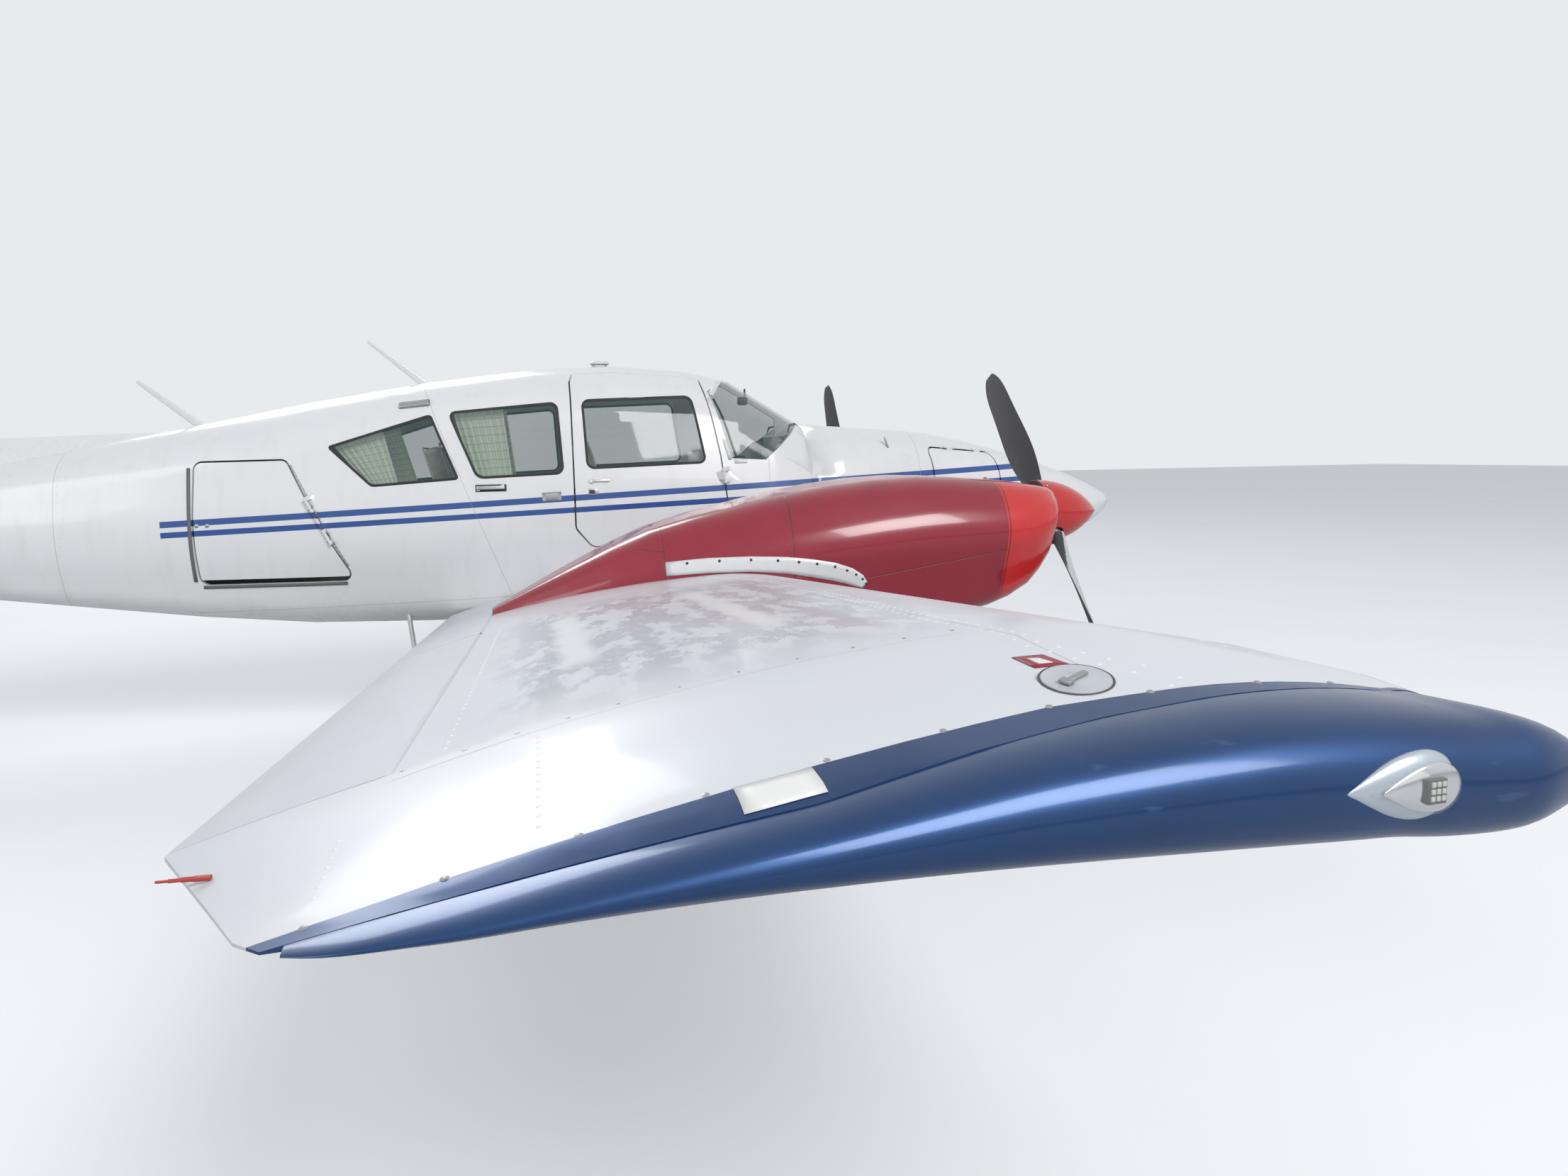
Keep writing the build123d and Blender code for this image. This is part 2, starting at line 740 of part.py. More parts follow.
# Rear fuselage, with a hole for the tailplane's spar, and its baggage door
bay_door_leaf, bay_frame_leaf, bay_pins, bay_bores = hinge_parts(
    baggage_hinge, baggage_hinge_places, baggage_leaf_reach
)
bay_opening, bay_panel = (
    panel_prism(baggage_door_outline, baggage_door_corner, baggage_slant, baggage_face, baggage_depth, gap)
    for gap in (0, baggage_gap)
)
with BuildPart() as rear_fuselage:
    add(cabin_wall.part)
    add(behind_seam, mode=Mode.INTERSECT)
    add([bay_opening, stabilator_rod(stabilator_spar + pin_gap)], mode=Mode.SUBTRACT)
    add(tie_down_lug(tail_ring_x, 0, tail_ring_z, tail_lug_reach))
    add(bay_frame_leaf)
    add([tie_down_hole(tail_ring_x, 0, tail_ring_z), bay_bores], mode=Mode.SUBTRACT)
    add(bay_pins)
save(rear_fuselage.part, "rear_fuselage")

with BuildPart() as rear_baggage_door:
    add(cabin_wall.part)
    add(bay_panel, mode=Mode.INTERSECT)
    add(block(tail_x, nose_x, -beside, beside, below, baggage_door_outline[0][1] + sill_gap), mode=Mode.SUBTRACT)
    add(bay_door_leaf)
    add(bay_bores, mode=Mode.SUBTRACT)
save(rear_baggage_door.part, "rear_baggage_door")


def lens_loft(sections, on_plane, trailing):
    """Symmetrical tail surface between sections of height, leading edge, trailing edge and thickness."""
    with BuildPart() as surface:
        for level, leading, rear, thickness in sections:
            mid = leading + 0.35 * (rear - leading)
            with BuildSketch(on_plane(level)):
                with BuildLine():
                    ThreePointArc((leading, 0), (mid, thickness / 2), (rear, trailing))
                    Line((rear, trailing), (rear, -trailing))
                    ThreePointArc((rear, -trailing), (mid, -thickness / 2), (leading, 0))
                make_face()
        loft(ruled=True)
    return surface.part


def stabilator_plane(y):
    return Plane(origin=(0, -y, stabilator_z), x_dir=(1, 0, 0), z_dir=(0, -1, 0))


# Fin with its dorsal fillet, and the rudder behind it
fin_sections = [(z, leading, rudder_hinge_x, thickness) for z, leading, thickness in fin_stations]
rudder_axis = (rudder_hinge_x, 0, rudder_bottom_z), (rudder_hinge_x, 0, rudder_stations[-1][0])
with BuildPart() as fin:
    add(lens_loft(fin_sections, Plane.XY.offset, rudder_nose))
    add(side_prism(dorsal_outline, 0, dorsal_thickness / 2, -dorsal_thickness / 2))
    add([cabin_body, rod(rudder_axis[0], (rudder_hinge_x, 0, height + wall), rudder_nose + move_gap)],
        mode=Mode.SUBTRACT)
save(fin.part, "fin")

with BuildPart() as rudder:
    add(lens_loft(rudder_stations, Plane.XY.offset, rear_edge))
    add(rod(*rudder_axis, rudder_nose))
save(rudder.part, "rudder")

with BuildPart() as stabilator:
    add(lens_loft(stabilator_stations, stabilator_plane, rear_edge))
    mirror(about=Plane.XZ)
    add(stabilator_rod(stabilator_spar))
save(stabilator.part, "stabilator")

# Nacelle: cowl with two cooling inlets, fairing over the wing and wheel well under it
with BuildPart() as cowl_room:
    add(nacelle_loft(nacelle_stations[:7], cowl_wall))
    add(block(firewall_x, cowl_inner_front_x, -engine_y - beside, -engine_y + beside, below, above),
        mode=Mode.INTERSECT)
with BuildPart() as nacelle:
    add(nacelle_loft(finer(nacelle_stations, 1)))
    add([cowl_room.part, whole_wing], mode=Mode.SUBTRACT)
    add(rod((cowl_inner_front_x - cowl_wall, -engine_y, hub_z), (cowl_front_x + cowl_wall, -engine_y, hub_z),
            hub_radius + shaft_room), mode=Mode.SUBTRACT)
    for side in (-1, 1):
        with BuildSketch(station(cowl_inner_front_x - cowl_wall)):
            with Locations((-engine_y + side * inlet_y, hub_z)):
                RectangleRounded(inlet_width, inlet_height, 0.4 * inlet_height)
        extrude(amount=cowl_front_x - cowl_inner_front_x + 2 * cowl_wall, mode=Mode.SUBTRACT)
    add(block(well_back_x, well_front_x, -engine_y - well_half, -engine_y + well_half, below, well_roof_z),
        mode=Mode.SUBTRACT)
    for side in (-1, 1):
        inner = -engine_y + side * well_half
        add(block(main_door_back_x, well_front_x, inner, inner + side * gear_door,
                  main_door_low_z, main_door_low_z + main_door_depth))
save_pair(nacelle.part, "nacelle")

with BuildPart() as engine:
    with BuildSketch(station(firewall_x)):
        with BuildLine():
            Polyline(*[(-engine_y + y, hub_z + z) for y, z in engine_outline],
                     *[(-engine_y - y, hub_z + z) for y, z in reversed(engine_outline)], close=True)
        make_face()
    extrude(amount=engine_length)
    add(rod((firewall_x + engine_length, -engine_y, hub_z), (propeller_x - 10, -engine_y, hub_z), crank_radius))
save_pair(engine.part, "engine")


def propeller_blades(lean, y):
    """Hub, shanks and two twisted blades, one straight up before they lean about the shaft."""
    with BuildPart() as blade:
        for radius, blade_chord, thickness, pitch in blade_stations:
            forward = Vector(sin(radians(pitch)), -cos(radians(pitch)), 0)
            plane = Plane(origin=(0, 0, radius), x_dir=forward, z_dir=(0, 0, 1))
            half = blade_chord / 2
            with BuildSketch(plane):
                with BuildLine():
                    ThreePointArc((-half, -1), (0, -0.15 * thickness - 1), (half, -1))
                    Line((half, -1), (half, 1))
                    ThreePointArc((half, 1), (0, 0.85 * thickness), (-half, 1))
                    Line((-half, 1), (-half, -1))
                make_face()
        loft()
        add(rod((0, 0, 0), (0, 0, 180), shank_radius))
    with BuildPart() as whole:
        add(blade.part)
        add(blade.part.rotate(Axis.X, 180))
        add(rod((-50, 0, 0), (60, 0, 0), hub_radius))
        add(rod((-60, 0, 0), (-5, 0, 0), crank_radius + pin_gap), mode=Mode.SUBTRACT)
    return whole.part.rotate(Axis.X, lean).translate((propeller_x, y, hub_z))


blade_holes = rod((0, 0, -2 * spinner_radius), (0, 0, 2 * spinner_radius), spinner_hole)
for side, tag in ((-1, "right"), (1, "left")):
    y = side * engine_y
    save(propeller_blades(propeller_lean[tag], y), f"propeller_{tag}")
    with BuildPart() as spinner:
        with BuildSketch(Plane(origin=(0, y, hub_z), x_dir=(1, 0, 0), z_dir=(0, -1, 0))):
            with BuildLine():
                Polyline((spinner_tip_x, 0), (spinner_back_x, 0), (spinner_back_x, spinner_radius))
                ThreePointArc((spinner_back_x, spinner_radius), (spinner_back_x + 190, 112), (spinner_tip_x, 0))
            make_face()
        revolve(axis=Axis((0, y, hub_z), (1, 0, 0)))
        add(rod((spinner_back_x - 5, y, hub_z), (propeller_x + 60 + pin_gap, y, hub_z), hub_radius + pin_gap),
            mode=Mode.SUBTRACT)
        add(blade_holes.rotate(Axis.X, propeller_lean[tag]).translate((propeller_x, y, hub_z)), mode=Mode.SUBTRACT)
    save(spinner.part, f"spinner_{tag}")


def wheel_parts(x, y, tyre_radius, tyre_width, bore):
    """A wheel's rim with its hub and web, and the tyre round it."""
    radial = Plane(origin=(x, y, tyre_radius), x_dir=(0, 1, 0), z_dir=(1, 0, 0))
    axis = Axis((x, y, tyre_radius), (0, 1, 0))
    half = tyre_width / 2
    with BuildPart() as rim:
        with BuildSketch(radial):
            with BuildLine():
                Polyline((-0.42 * tyre_width, bore), (-0.42 * tyre_width, bore + 14), (-12, 0.55 * rim_radius),
                         (-12, rim_radius - 14), (-half * 0.72, rim_radius - 14), (-half * 0.72, rim_radius),
                         (half * 0.72, rim_radius), (half * 0.72, rim_radius - 14), (12, rim_radius - 14),
                         (12, 0.55 * rim_radius), (0.42 * tyre_width, bore + 14), (0.42 * tyre_width, bore),
                         close=True)
            make_face()
        revolve(axis=axis)
    with BuildPart() as tyre:
        with BuildSketch(radial):
            with BuildLine():
                beads = (-0.7 * half, rim_radius + pin_gap), (0.7 * half, rim_radius + pin_gap)
                shoulders = (-0.72 * half, 0.93 * tyre_radius), (0.72 * half, 0.93 * tyre_radius)
                Line(*beads)
                ThreePointArc(beads[1], (half, 0.66 * tyre_radius), shoulders[1])
                ThreePointArc(shoulders[1], (0, tyre_radius), shoulders[0])
                ThreePointArc(shoulders[0], (-half, 0.66 * tyre_radius), beads[0])
            make_face()
        revolve(axis=axis)
    return rim.part, tyre.part


rim, tyre = wheel_parts(main_wheel_x, -main_wheel_y, main_tyre_radius, main_tyre_width, axle_radius + pin_gap)
save_pair(rim, "main_wheel")
save_pair(tyre, "main_tyre")
rim, tyre = wheel_parts(nose_wheel_x, 0, nose_tyre_radius, nose_tyre_width, axle_radius + pin_gap)
save(rim, "nose_wheel")
save(tyre, "nose_tyre")

# Main leg: trunnion across the well, oleo with its torque link, drag brace and axle
with BuildPart() as main_leg:
    for x, radius in ((main_wheel_x, trunnion_radius), (brace_x, brace_radius)):
        add(rod((x, -engine_y - well_half, trunnion_z), (x, -engine_y + well_half, trunnion_z), radius))
    foot = (main_wheel_x, -main_strut_y, oleo_foot_z)
    add(rod((main_wheel_x, -main_strut_y, trunnion_z + 15), foot, strut_radius))
    add(rod(foot, (main_wheel_x, -main_strut_y, main_tyre_radius - 35), piston_radius))
    add(rod((main_wheel_x, -main_strut_y - 30, main_tyre_radius),
            (main_wheel_x, -main_wheel_y + 60, main_tyre_radius), axle_radius))
    add(rod((main_wheel_x, -main_strut_y, brace_foot_z), (brace_x, -main_strut_y, trunnion_z), brace_radius))
    for z in (oleo_foot_z + 25, main_tyre_radius + 5):
        add(rod((main_wheel_x, -main_strut_y, z), (link_x, -main_strut_y, link_z), link_radius))
save_pair(main_leg.part, "main_leg")

# Nose leg: fixed oleo cylinder with its brace, and the steered fork below it
with BuildPart() as nose_leg:
    add(rod((nose_wheel_x, 0, nose_well_roof_z), (nose_wheel_x, 0, nose_cylinder_foot_z), strut_radius))
    add(rod((nose_wheel_x, 0, nose_cylinder_foot_z + 95), (nose_brace_x, 0, nose_brace_z), brace_radius))
    add(rod((nose_brace_x, -nose_well_half, nose_brace_z), (nose_brace_x, nose_well_half, nose_brace_z),
            brace_radius))
    add(rod((nose_wheel_x, 0, nose_cylinder_foot_z - 5), (nose_wheel_x, 0, nose_piston_top_z + 20),
            piston_radius + pin_gap), mode=Mode.SUBTRACT)
save(nose_leg.part, "nose_leg")
with BuildPart() as nose_fork:
    add(rod((nose_wheel_x, 0, fork_z), (nose_wheel_x, 0, nose_piston_top_z), piston_radius))
    add(block(nose_wheel_x - 42, nose_wheel_x + 42, -fork_half, fork_half, fork_z - 19, fork_z + 19))
    for side in (-1, 1):
        add(block(nose_wheel_x - 30, nose_wheel_x + 30, side * (fork_half - 22), side * fork_half,
                  nose_tyre_radius - 37, fork_z))
    add(rod((nose_wheel_x, -fork_half, nose_tyre_radius), (nose_wheel_x, fork_half, nose_tyre_radius), axle_radius))
save(nose_fork.part, "nose_fork")


# Each seat is one padded shape: plinth, cushion and leaning back
for name, (x, y, width, depth) in seats.items():
    rear_x = x - depth
    outline = ((x, floor_z), (x, cushion_z), (rear_x, cushion_z), (rear_x - back_lean, back_top_z),
               (rear_x - back_lean - back_thickness, back_top_z), (rear_x - back_thickness, cushion_z - 40),
               (rear_x, floor_z))
    save(side_prism(outline, 30, y - width / 2, y + width / 2), name)

with BuildPart() as instrument_panel:
    add(side_prism(panel_outline, 15, -panel_half, panel_half))
    add(block(panel_outline[0][0], firewall_panel_x, -pedestal_half, pedestal_half, floor_z,
              panel_outline[0][1] + 10))
    for y in (-yoke_y, yoke_y):
        add(rod((panel_outline[0][0] + 10, y, yoke_z), (yoke_x, y, yoke_z), 12))
        add(rod((yoke_x, y - yoke_half, yoke_z + 20), (yoke_x, y + yoke_half, yoke_z + 20), 15))
save(instrument_panel.part, "instrument_panel")
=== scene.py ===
# %% [markdown]
# # A twin-engine light aircraft
# The packed CAD model is the fixed frame of this scene. Each of its nodes keeps its place and shape,
# gets a better finish here, and carries the small pieces that a CAD model leaves out.

# %% Load the packed model
from math import cos, pi, radians, sin

import bmesh
import bpy
from mathutils import Matrix, Vector
from mathutils.bvhtree import BVHTree


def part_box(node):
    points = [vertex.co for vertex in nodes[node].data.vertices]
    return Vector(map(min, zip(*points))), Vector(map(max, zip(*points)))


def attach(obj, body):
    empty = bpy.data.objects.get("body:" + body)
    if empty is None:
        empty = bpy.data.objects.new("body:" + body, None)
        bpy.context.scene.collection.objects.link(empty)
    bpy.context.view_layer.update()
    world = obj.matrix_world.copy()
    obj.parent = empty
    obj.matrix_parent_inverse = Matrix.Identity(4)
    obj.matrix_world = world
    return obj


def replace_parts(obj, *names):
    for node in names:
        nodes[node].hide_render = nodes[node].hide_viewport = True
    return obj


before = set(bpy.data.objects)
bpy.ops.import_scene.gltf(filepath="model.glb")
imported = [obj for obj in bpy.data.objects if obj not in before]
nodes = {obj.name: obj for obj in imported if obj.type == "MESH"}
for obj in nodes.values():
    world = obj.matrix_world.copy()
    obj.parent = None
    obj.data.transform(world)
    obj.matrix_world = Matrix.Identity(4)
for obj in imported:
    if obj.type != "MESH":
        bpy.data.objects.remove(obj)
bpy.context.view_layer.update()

scene = bpy.context.scene

# %% [markdown]
# ## The camera
# A photograph is matched by the camera's place, its three angles and its focal length. Here they were
# solved from points of the aircraft whose real places are known, and the lens is given in millimetres on
# a sensor 36 mm wide.

# %% Camera at the photograph's viewpoint
camera_place = Vector((0.8385, -6.6855, 1.5397))
camera_yaw, camera_pitch, camera_roll = radians(12.72), radians(7.22), radians(0.88)

camera_data = bpy.data.cameras.new("photo_camera")
camera_data.sensor_width = 36
camera_data.lens = 24.735
camera = bpy.data.objects.new("photo_camera", camera_data)
scene.collection.objects.link(camera)
scene.camera = camera
turn = Matrix.Rotation(-camera_yaw, 4, "Z") @ Matrix.Rotation(pi / 2 - camera_pitch, 4, "X")
camera.matrix_world = Matrix.Translation(camera_place) @ turn @ Matrix.Rotation(-camera_roll, 4, "Z")
print("camera looks along", camera.matrix_world.to_3x3() @ Vector((0, 0, -1)))

# %% [markdown]
# ## Writing materials as sums
# A material is a graph of small nodes, and most of its masks are arithmetic: a painted stripe is where the
# height above the ground differs little from the stripe's line. A class that wraps one socket lets such a
# mask be typed as a Python expression, and each operator adds the Math node that it stands for.

# %% A socket that takes part in sums
class Wire:
    def __init__(self, tree, socket=None):
        self.tree, self.socket = tree, socket

    def add(self, kind, sockets=(), out=0, stops=(), **settings):
        """A new node: its settings first, then a ramp's stops, then its sockets' values or links."""
        node = self.tree.nodes.new(kind)
        for name, value in settings.items():
            setattr(node, name, value)
        for number, (level, colour) in enumerate(stops):
            ramp = node.color_ramp.elements
            stop = ramp[number] if number < len(ramp) else ramp.new(level)
            stop.position, stop.color = level, colour
        for place, value in dict(sockets).items():
            if isinstance(value, Wire):
                self.tree.links.new(value.socket, node.inputs[place])
            else:
                node.inputs[place].default_value = value
        return Wire(self.tree, node.outputs[out])

    def maths(self, operation, *values):
        return self.add("ShaderNodeMath", enumerate(values), operation=operation)

    def __add__(self, other):
        return self.maths("ADD", self, other)

    def __sub__(self, other):
        return self.maths("SUBTRACT", self, other)

    def __rsub__(self, other):
        return self.maths("SUBTRACT", other, self)

    def __mul__(self, other):
        return self.maths("MULTIPLY", self, other)

    def __truediv__(self, other):
        return self.maths("DIVIDE", self, other)

    def __mod__(self, other):
        return self.maths("FLOORED_MODULO", self, other)

    def __abs__(self):
        return self.maths("ABSOLUTE", self)

    __radd__, __rmul__ = __add__, __mul__

    def rise(self, low, high):
        """0 below low and 1 above high, with a smooth climb between."""
        return self.add("ShaderNodeMapRange", {"Value": self, "From Min": low, "From Max": high},
                        interpolation_type="SMOOTHSTEP")

    def root(self):
        return self.maths("SQRT", self)

    def least(self, other):
        return self.maths("MINIMUM", self, other)

    def line(self, half, soft=0.0007):
        """1 where the value is within half of zero."""
        return 1 - abs(self).rise(half - soft, half + soft)

    def noise(self, scale, detail=2.0, rough=0.5):
        sockets = {"Vector": self, "Scale": scale, "Detail": detail, "Roughness": rough}
        return self.add("ShaderNodeTexNoise", sockets)

    def stretch(self, x, y, z):
        """Coordinates scaled along each axis, for a pattern that is longer one way."""
        return self.add("ShaderNodeMapping", {"Vector": self, "Scale": (x, y, z)})

    def axes(self):
        split = self.add("ShaderNodeSeparateXYZ", {0: self})
        return [Wire(self.tree, socket) for socket in split.socket.node.outputs]

    def mix(self, first, second):
        """The first colour where this mask is 0, the second where it is 1."""
        return self.add("ShaderNodeMix", {0: self, 6: first, 7: second}, out=2, data_type="RGBA")

    def bump(self):
        """A surface normal from a height in metres."""
        return self.add("ShaderNodeBump", {"Height": self, "Distance": 1.0})


print("wire:", [name for name in vars(Wire) if not name.startswith("__")])

# %% [markdown]
# ## One way to make every finish
# Each finish is a function. It gets the Object coordinates, which on this model are metres from the origin
# on the ground, and returns what the shader's sockets read. Numbers that are the same all over the
# surface stay plain numbers, and only what varies becomes a Wire.

# %% A material from a function
def colour(red, green, blue):
    return (red, green, blue, 1.0)


def finish(name, paint):
    material = bpy.data.materials.new(name)
    material.use_nodes = True
    tree = material.node_tree
    shader = tree.nodes["Principled BSDF"]
    place = Wire(tree).add("ShaderNodeTexCoord", out="Object")
    for socket, value in paint(place).items():
        if isinstance(value, Wire):
            tree.links.new(value.socket, shader.inputs[socket])
        else:
            shader.inputs[socket].default_value = value
    return material


def dress(material, *names):
    """Give CAD nodes a finish, in each of their material slots."""
    for name in names:
        for holder in nodes[name].material_slots:
            holder.material = material


# %% [markdown]
# ## Floor, lights and background
# A plain pale floor catches the shadow, and wide soft lamps stand for an overcast studio. The world gives
# a little even light, while the camera, reflections and clear panes see it brighter, as a pale backdrop.
# A Light Path node tells which kind of ray is asking.

# %% Lamps, world and floor
scene.view_settings.view_transform = "Standard"


def area_lamp(name, place, target, size, watts):
    data = bpy.data.lights.new(name, "AREA")
    data.shape = "SQUARE"
    data.size = size
    data.energy = watts
    lamp = bpy.data.objects.new(name, data)
    scene.collection.objects.link(lamp)
    aim = (Vector(target) - Vector(place)).to_track_quat("-Z", "Y")
    lamp.matrix_world = Matrix.Translation(place) @ aim.to_matrix().to_4x4()
    return lamp


area_lamp("key_lamp", (6, -14, 11), (0.5, -1, 1), 7, 1750)
area_lamp("fill_lamp", (-12, -9, 8), (0, 0, 1), 8, 500)
area_lamp("rim_lamp", (-4, 14, 12), (0, 0, 1), 8, 1000)

studio = bpy.data.worlds.new("studio")
studio.use_nodes = True
scene.world = studio
rays = Wire(studio.node_tree).add("ShaderNodeLightPath", out="Is Camera Ray")
seen = [Wire(rays.tree, rays.socket.node.outputs[name])
        for name in ("Is Camera Ray", "Is Glossy Ray", "Is Transmission Ray")]
direct = (seen[0] + seen[1] + seen[2]).least(1.0)
backdrop = direct.mix(colour(0.85, 0.90, 1.0), colour(0.84, 0.86, 0.88))
lit = studio.node_tree.nodes["Background"]
studio.node_tree.links.new(backdrop.socket, lit.inputs["Color"])
studio.node_tree.links.new((direct * 0.62 + 0.34).socket, lit.inputs["Strength"])


def floor_grey(place):
    cloud = place.noise(0.8, 4)
    direct_ray = place.add("ShaderNodeLightPath", out="Is Camera Ray")
    return {
        "Base Color": cloud.mix(colour(0.60, 0.61, 0.62), colour(0.66, 0.67, 0.68)),
        "Roughness": cloud * 0.1 + 0.8,
        "Emission Color": direct_ray.mix(colour(0, 0, 0), colour(0.30, 0.31, 0.32)),
        "Emission Strength": 1.0,
        "Normal": (place.noise(60, 2) * 0.0002).bump(),
    }


floor_mesh = bmesh.new()
bmesh.ops.create_grid(floor_mesh, x_segments=1, y_segments=1, size=60)
floor_data = bpy.data.meshes.new("floor")
floor_mesh.to_mesh(floor_data)
floor_mesh.free()
floor_data.materials.append(finish("floor_grey", floor_grey))
floor = bpy.data.objects.new("floor", floor_data)
scene.collection.objects.link(floor)
print("lamps:", len(bpy.data.lights))

# %% [markdown]
# ## Metallic blue on the wing tips
# The blue is a flake paint: it turns light where it faces a lamp and nearly black where it doesn't. A metal
# shader does that by itself, and a clear coat on top gives the sharp streak along the crown. Fine noise in
# the roughness stands for the flakes, and small chips show along the edge.

# %% Tip blue
def tip_blue(place):
    flakes = place.noise(900, 0)
    cloud = place.noise(4, 3)
    scuffs = place.stretch(1, 1, 5).noise(9, 4).rise(0.66, 0.72)
    tone = cloud.mix(colour(0.004, 0.030, 0.105), colour(0.007, 0.052, 0.175))
    return {
        "Base Color": (scuffs * 0.35).mix(tone, colour(0.06, 0.12, 0.25)),
        "Metallic": 0.6,
        "Roughness": flakes * 0.10 + cloud * 0.06 + 0.26 + scuffs * 0.15,
        "Normal": (flakes * 0.00003 + place.noise(7, 1) * 0.0006).bump(),
        "Coat Weight": 0.5,
        "Coat Roughness": 0.12,
    }


tip_finish = finish("tip_blue", tip_blue)
dress(tip_finish, "tip_cap_right", "tip_cap_left")

# %% [markdown]
# ## White paint on the fuselage
# The real skin is gloss white over thin sheet, so it shows faint waves between the frames, fine seams, dots
# where flush rivets sit and a little dirt low down. The two blue stripes are paint, not pieces: each is a
# band about a straight line in the side view, so a few sums on x and z draw it on every node that it crosses.

# %% Fuselage white, with stripes, seams and flush rivets
white = colour(0.79, 0.795, 0.80)
stripe_blue = colour(0.028, 0.085, 0.30)
grime = colour(0.44, 0.42, 0.38)
seam_grey = colour(0.30, 0.30, 0.30)


def dots(along, across, pitch, radius):
    """A row of round dots, a pitch apart, where across is the distance from the row."""
    local = (along / pitch) % 1 * pitch - pitch / 2
    reach = (local * local + across * across).root()
    return 1 - reach.rise(radius * 0.7, radius * 1.2)


def fuselage_white(place):
    x, y, z = place.axes()
    upper = (z - x * 0.0444 - 1.256).line(0.0165)
    lower = (z - x * 0.0394 - 1.195).line(0.0150)
    stripes = (upper + lower) * (x + 1.10).rise(0, 0.003) * (1 - (x - 3.95).rise(0, 0.003))
    seams = 0
    for start, slope in ((-1.62, 0.0), (-2.35, 0.0), (-3.12, 0.0), (0.955, -0.37), (2.15, 0.0), (3.12, 0.0)):
        seams = (x - z * slope - start).line(0.0013) + seams
    seams = seams + (z - x * 0.02 - 0.74).line(0.0012) * (1 - x.rise(2.3, 2.31))
    rivets = dots(z, x + 1.60, 0.045, 0.0032) + dots(z, x + 2.33, 0.045, 0.0032)
    rivets = rivets + dots(z, x - 2.17, 0.05, 0.0032) + dots(x, z - x * 0.02 - 0.755, 0.06, 0.0032)
    wear = place.noise(2.2, 3.0)
    low = 1 - z.rise(0.60, 1.05)
    streaks = place.stretch(9, 9, 1.3).noise(1.6, 3.0).rise(0.5, 0.8)
    dirt = low * 0.30 * wear + streaks * 0.10
    skin = dirt.mix(white, grime)
    skin = (wear.rise(0.35, 0.75) * 0.14).mix(skin, colour(0.62, 0.65, 0.68))
    painted = stripes.mix(skin, stripe_blue)
    waves = place.stretch(1, 1, 1.4).noise(5.5, 1.0) * 0.0012 + place.noise(420, 1.0) * 0.000012
    return {
        "Base Color": ((seams + rivets * 0.5) * 0.55).mix(painted, seam_grey),
        "Roughness": wear * 0.12 + 0.16 + dirt * 0.4,
        "Normal": (waves - seams * 0.0006 - rivets * 0.0002).bump(),
        "Coat Weight": 0.35,
        "Coat Roughness": 0.05,
        "Specular IOR Level": 0.5,
    }


fuselage_finish = finish("fuselage_white", fuselage_white)
dress(fuselage_finish, "nose_section", "cabin_shell", "rear_fuselage", "cabin_door", "rear_baggage_door",
      "nose_baggage_door")
print("dressed in", fuselage_finish.name)

# %% [markdown]
# ## White paint on the wings
# The top of the wing lies under the sky all year. Its gloss is gone in blotches, and the shiny patches are
# painted darker and bluer, a painted reflection of the sky; two pale bands were rubbed down over ribs. The
# blotches are noise pulled long across the wing, kept between the nacelle and the outer seam. Apart from that
# painted reflection, what varies is mostly roughness.

# %% Wing white, with blotches, bands, seams and a blue edge by the tip
def wing_white(place):
    x, y, z = place.axes()
    out = abs(y)
    top = z - (out - 5.0) * 0.0771 - (x - 0.335) * 0.06 - 1.012
    upper = top.rise(0.0, 0.02)
    area = out.rise(2.5, 3.1) * (1 - out.rise(4.7, 5.1)) * x.rise(0.66, 0.85) * (1 - x.rise(1.45, 1.75))
    shiny_reflection_patches = place.stretch(4.4, 1.3, 1).noise(3.4, 6.0, 0.66).rise(0.44, 0.52)
    bands = (x - 0.93 + place.noise(7) * 0.05).line(0.035, 0.02)
    bands = bands + (x - 1.33 + place.noise(6) * 0.05).line(0.03, 0.02)
    bands = bands * (1 - out.rise(4.4, 4.6)) * out.rise(3.0, 3.3)
    # worn marks the shiny patches: their roughness is lower, and their darker, bluer colour is a painted
    # reflection of the sky
    worn = area * shiny_reflection_patches * upper * (1 - bands)
    lap = (out - 5.175 + (x - 0.722) * 0.15).line(0.0016) * x.rise(0.62, 0.63) * (1 - x.rise(1.50, 1.51))
    ribs = (out - 2.79).line(0.0011) + (out - 3.62).line(0.0008) * 0.6 + (out - 4.45).line(0.0008) * 0.6
    spar = (x - 1.545).line(0.0012) * (1 - out.rise(5.4, 5.41))
    nose = (x - 1.905).line(0.0012) * (1 - out.rise(5.2, 5.21)) * 0.7
    seams = lap + ribs + spar + nose
    wear = place.noise(3.1, 4.0)
    tone = (wear.rise(0.3, 0.8) * 0.3).mix(colour(0.64, 0.66, 0.69), colour(0.53, 0.56, 0.61))
    # painted reflection: the shiny patches take a darker, bluer colour, as the sky reflected in them
    tone = (worn * 0.6).mix(tone, colour(0.36, 0.39, 0.44))
    tone = (bands * upper * area * 0.6).mix(tone, colour(0.78, 0.80, 0.79))
    grubby = (1 - upper) * place.noise(2, 4).rise(0.4, 0.8) * 0.35
    tone = grubby.mix(tone, grime)
    ripple = place.stretch(1, 0.6, 1).noise(6.0, 1.0) * 0.0014
    painted = (seams * 0.6).mix(tone, seam_grey)
    rough = wear * 0.16 + 0.24 + upper * 0.05 - worn * 0.10 + grubby * 0.3
    band = (out - 5.574 + (x - 0.59).least(0.85) * 0.10).rise(0, 0.0012)
    blue = tip_blue(place)
    return {
        "Base Color": band.mix(painted, blue["Base Color"]),
        "Metallic": band * blue["Metallic"],
        "Roughness": rough * (1 - band) + blue["Roughness"] * band,
        "Normal": (ripple - seams * 0.0006 + worn * 0.00005).bump(),
        "Coat Weight": band * 0.3 + 0.2,
        "Coat Roughness": 0.1,
    }


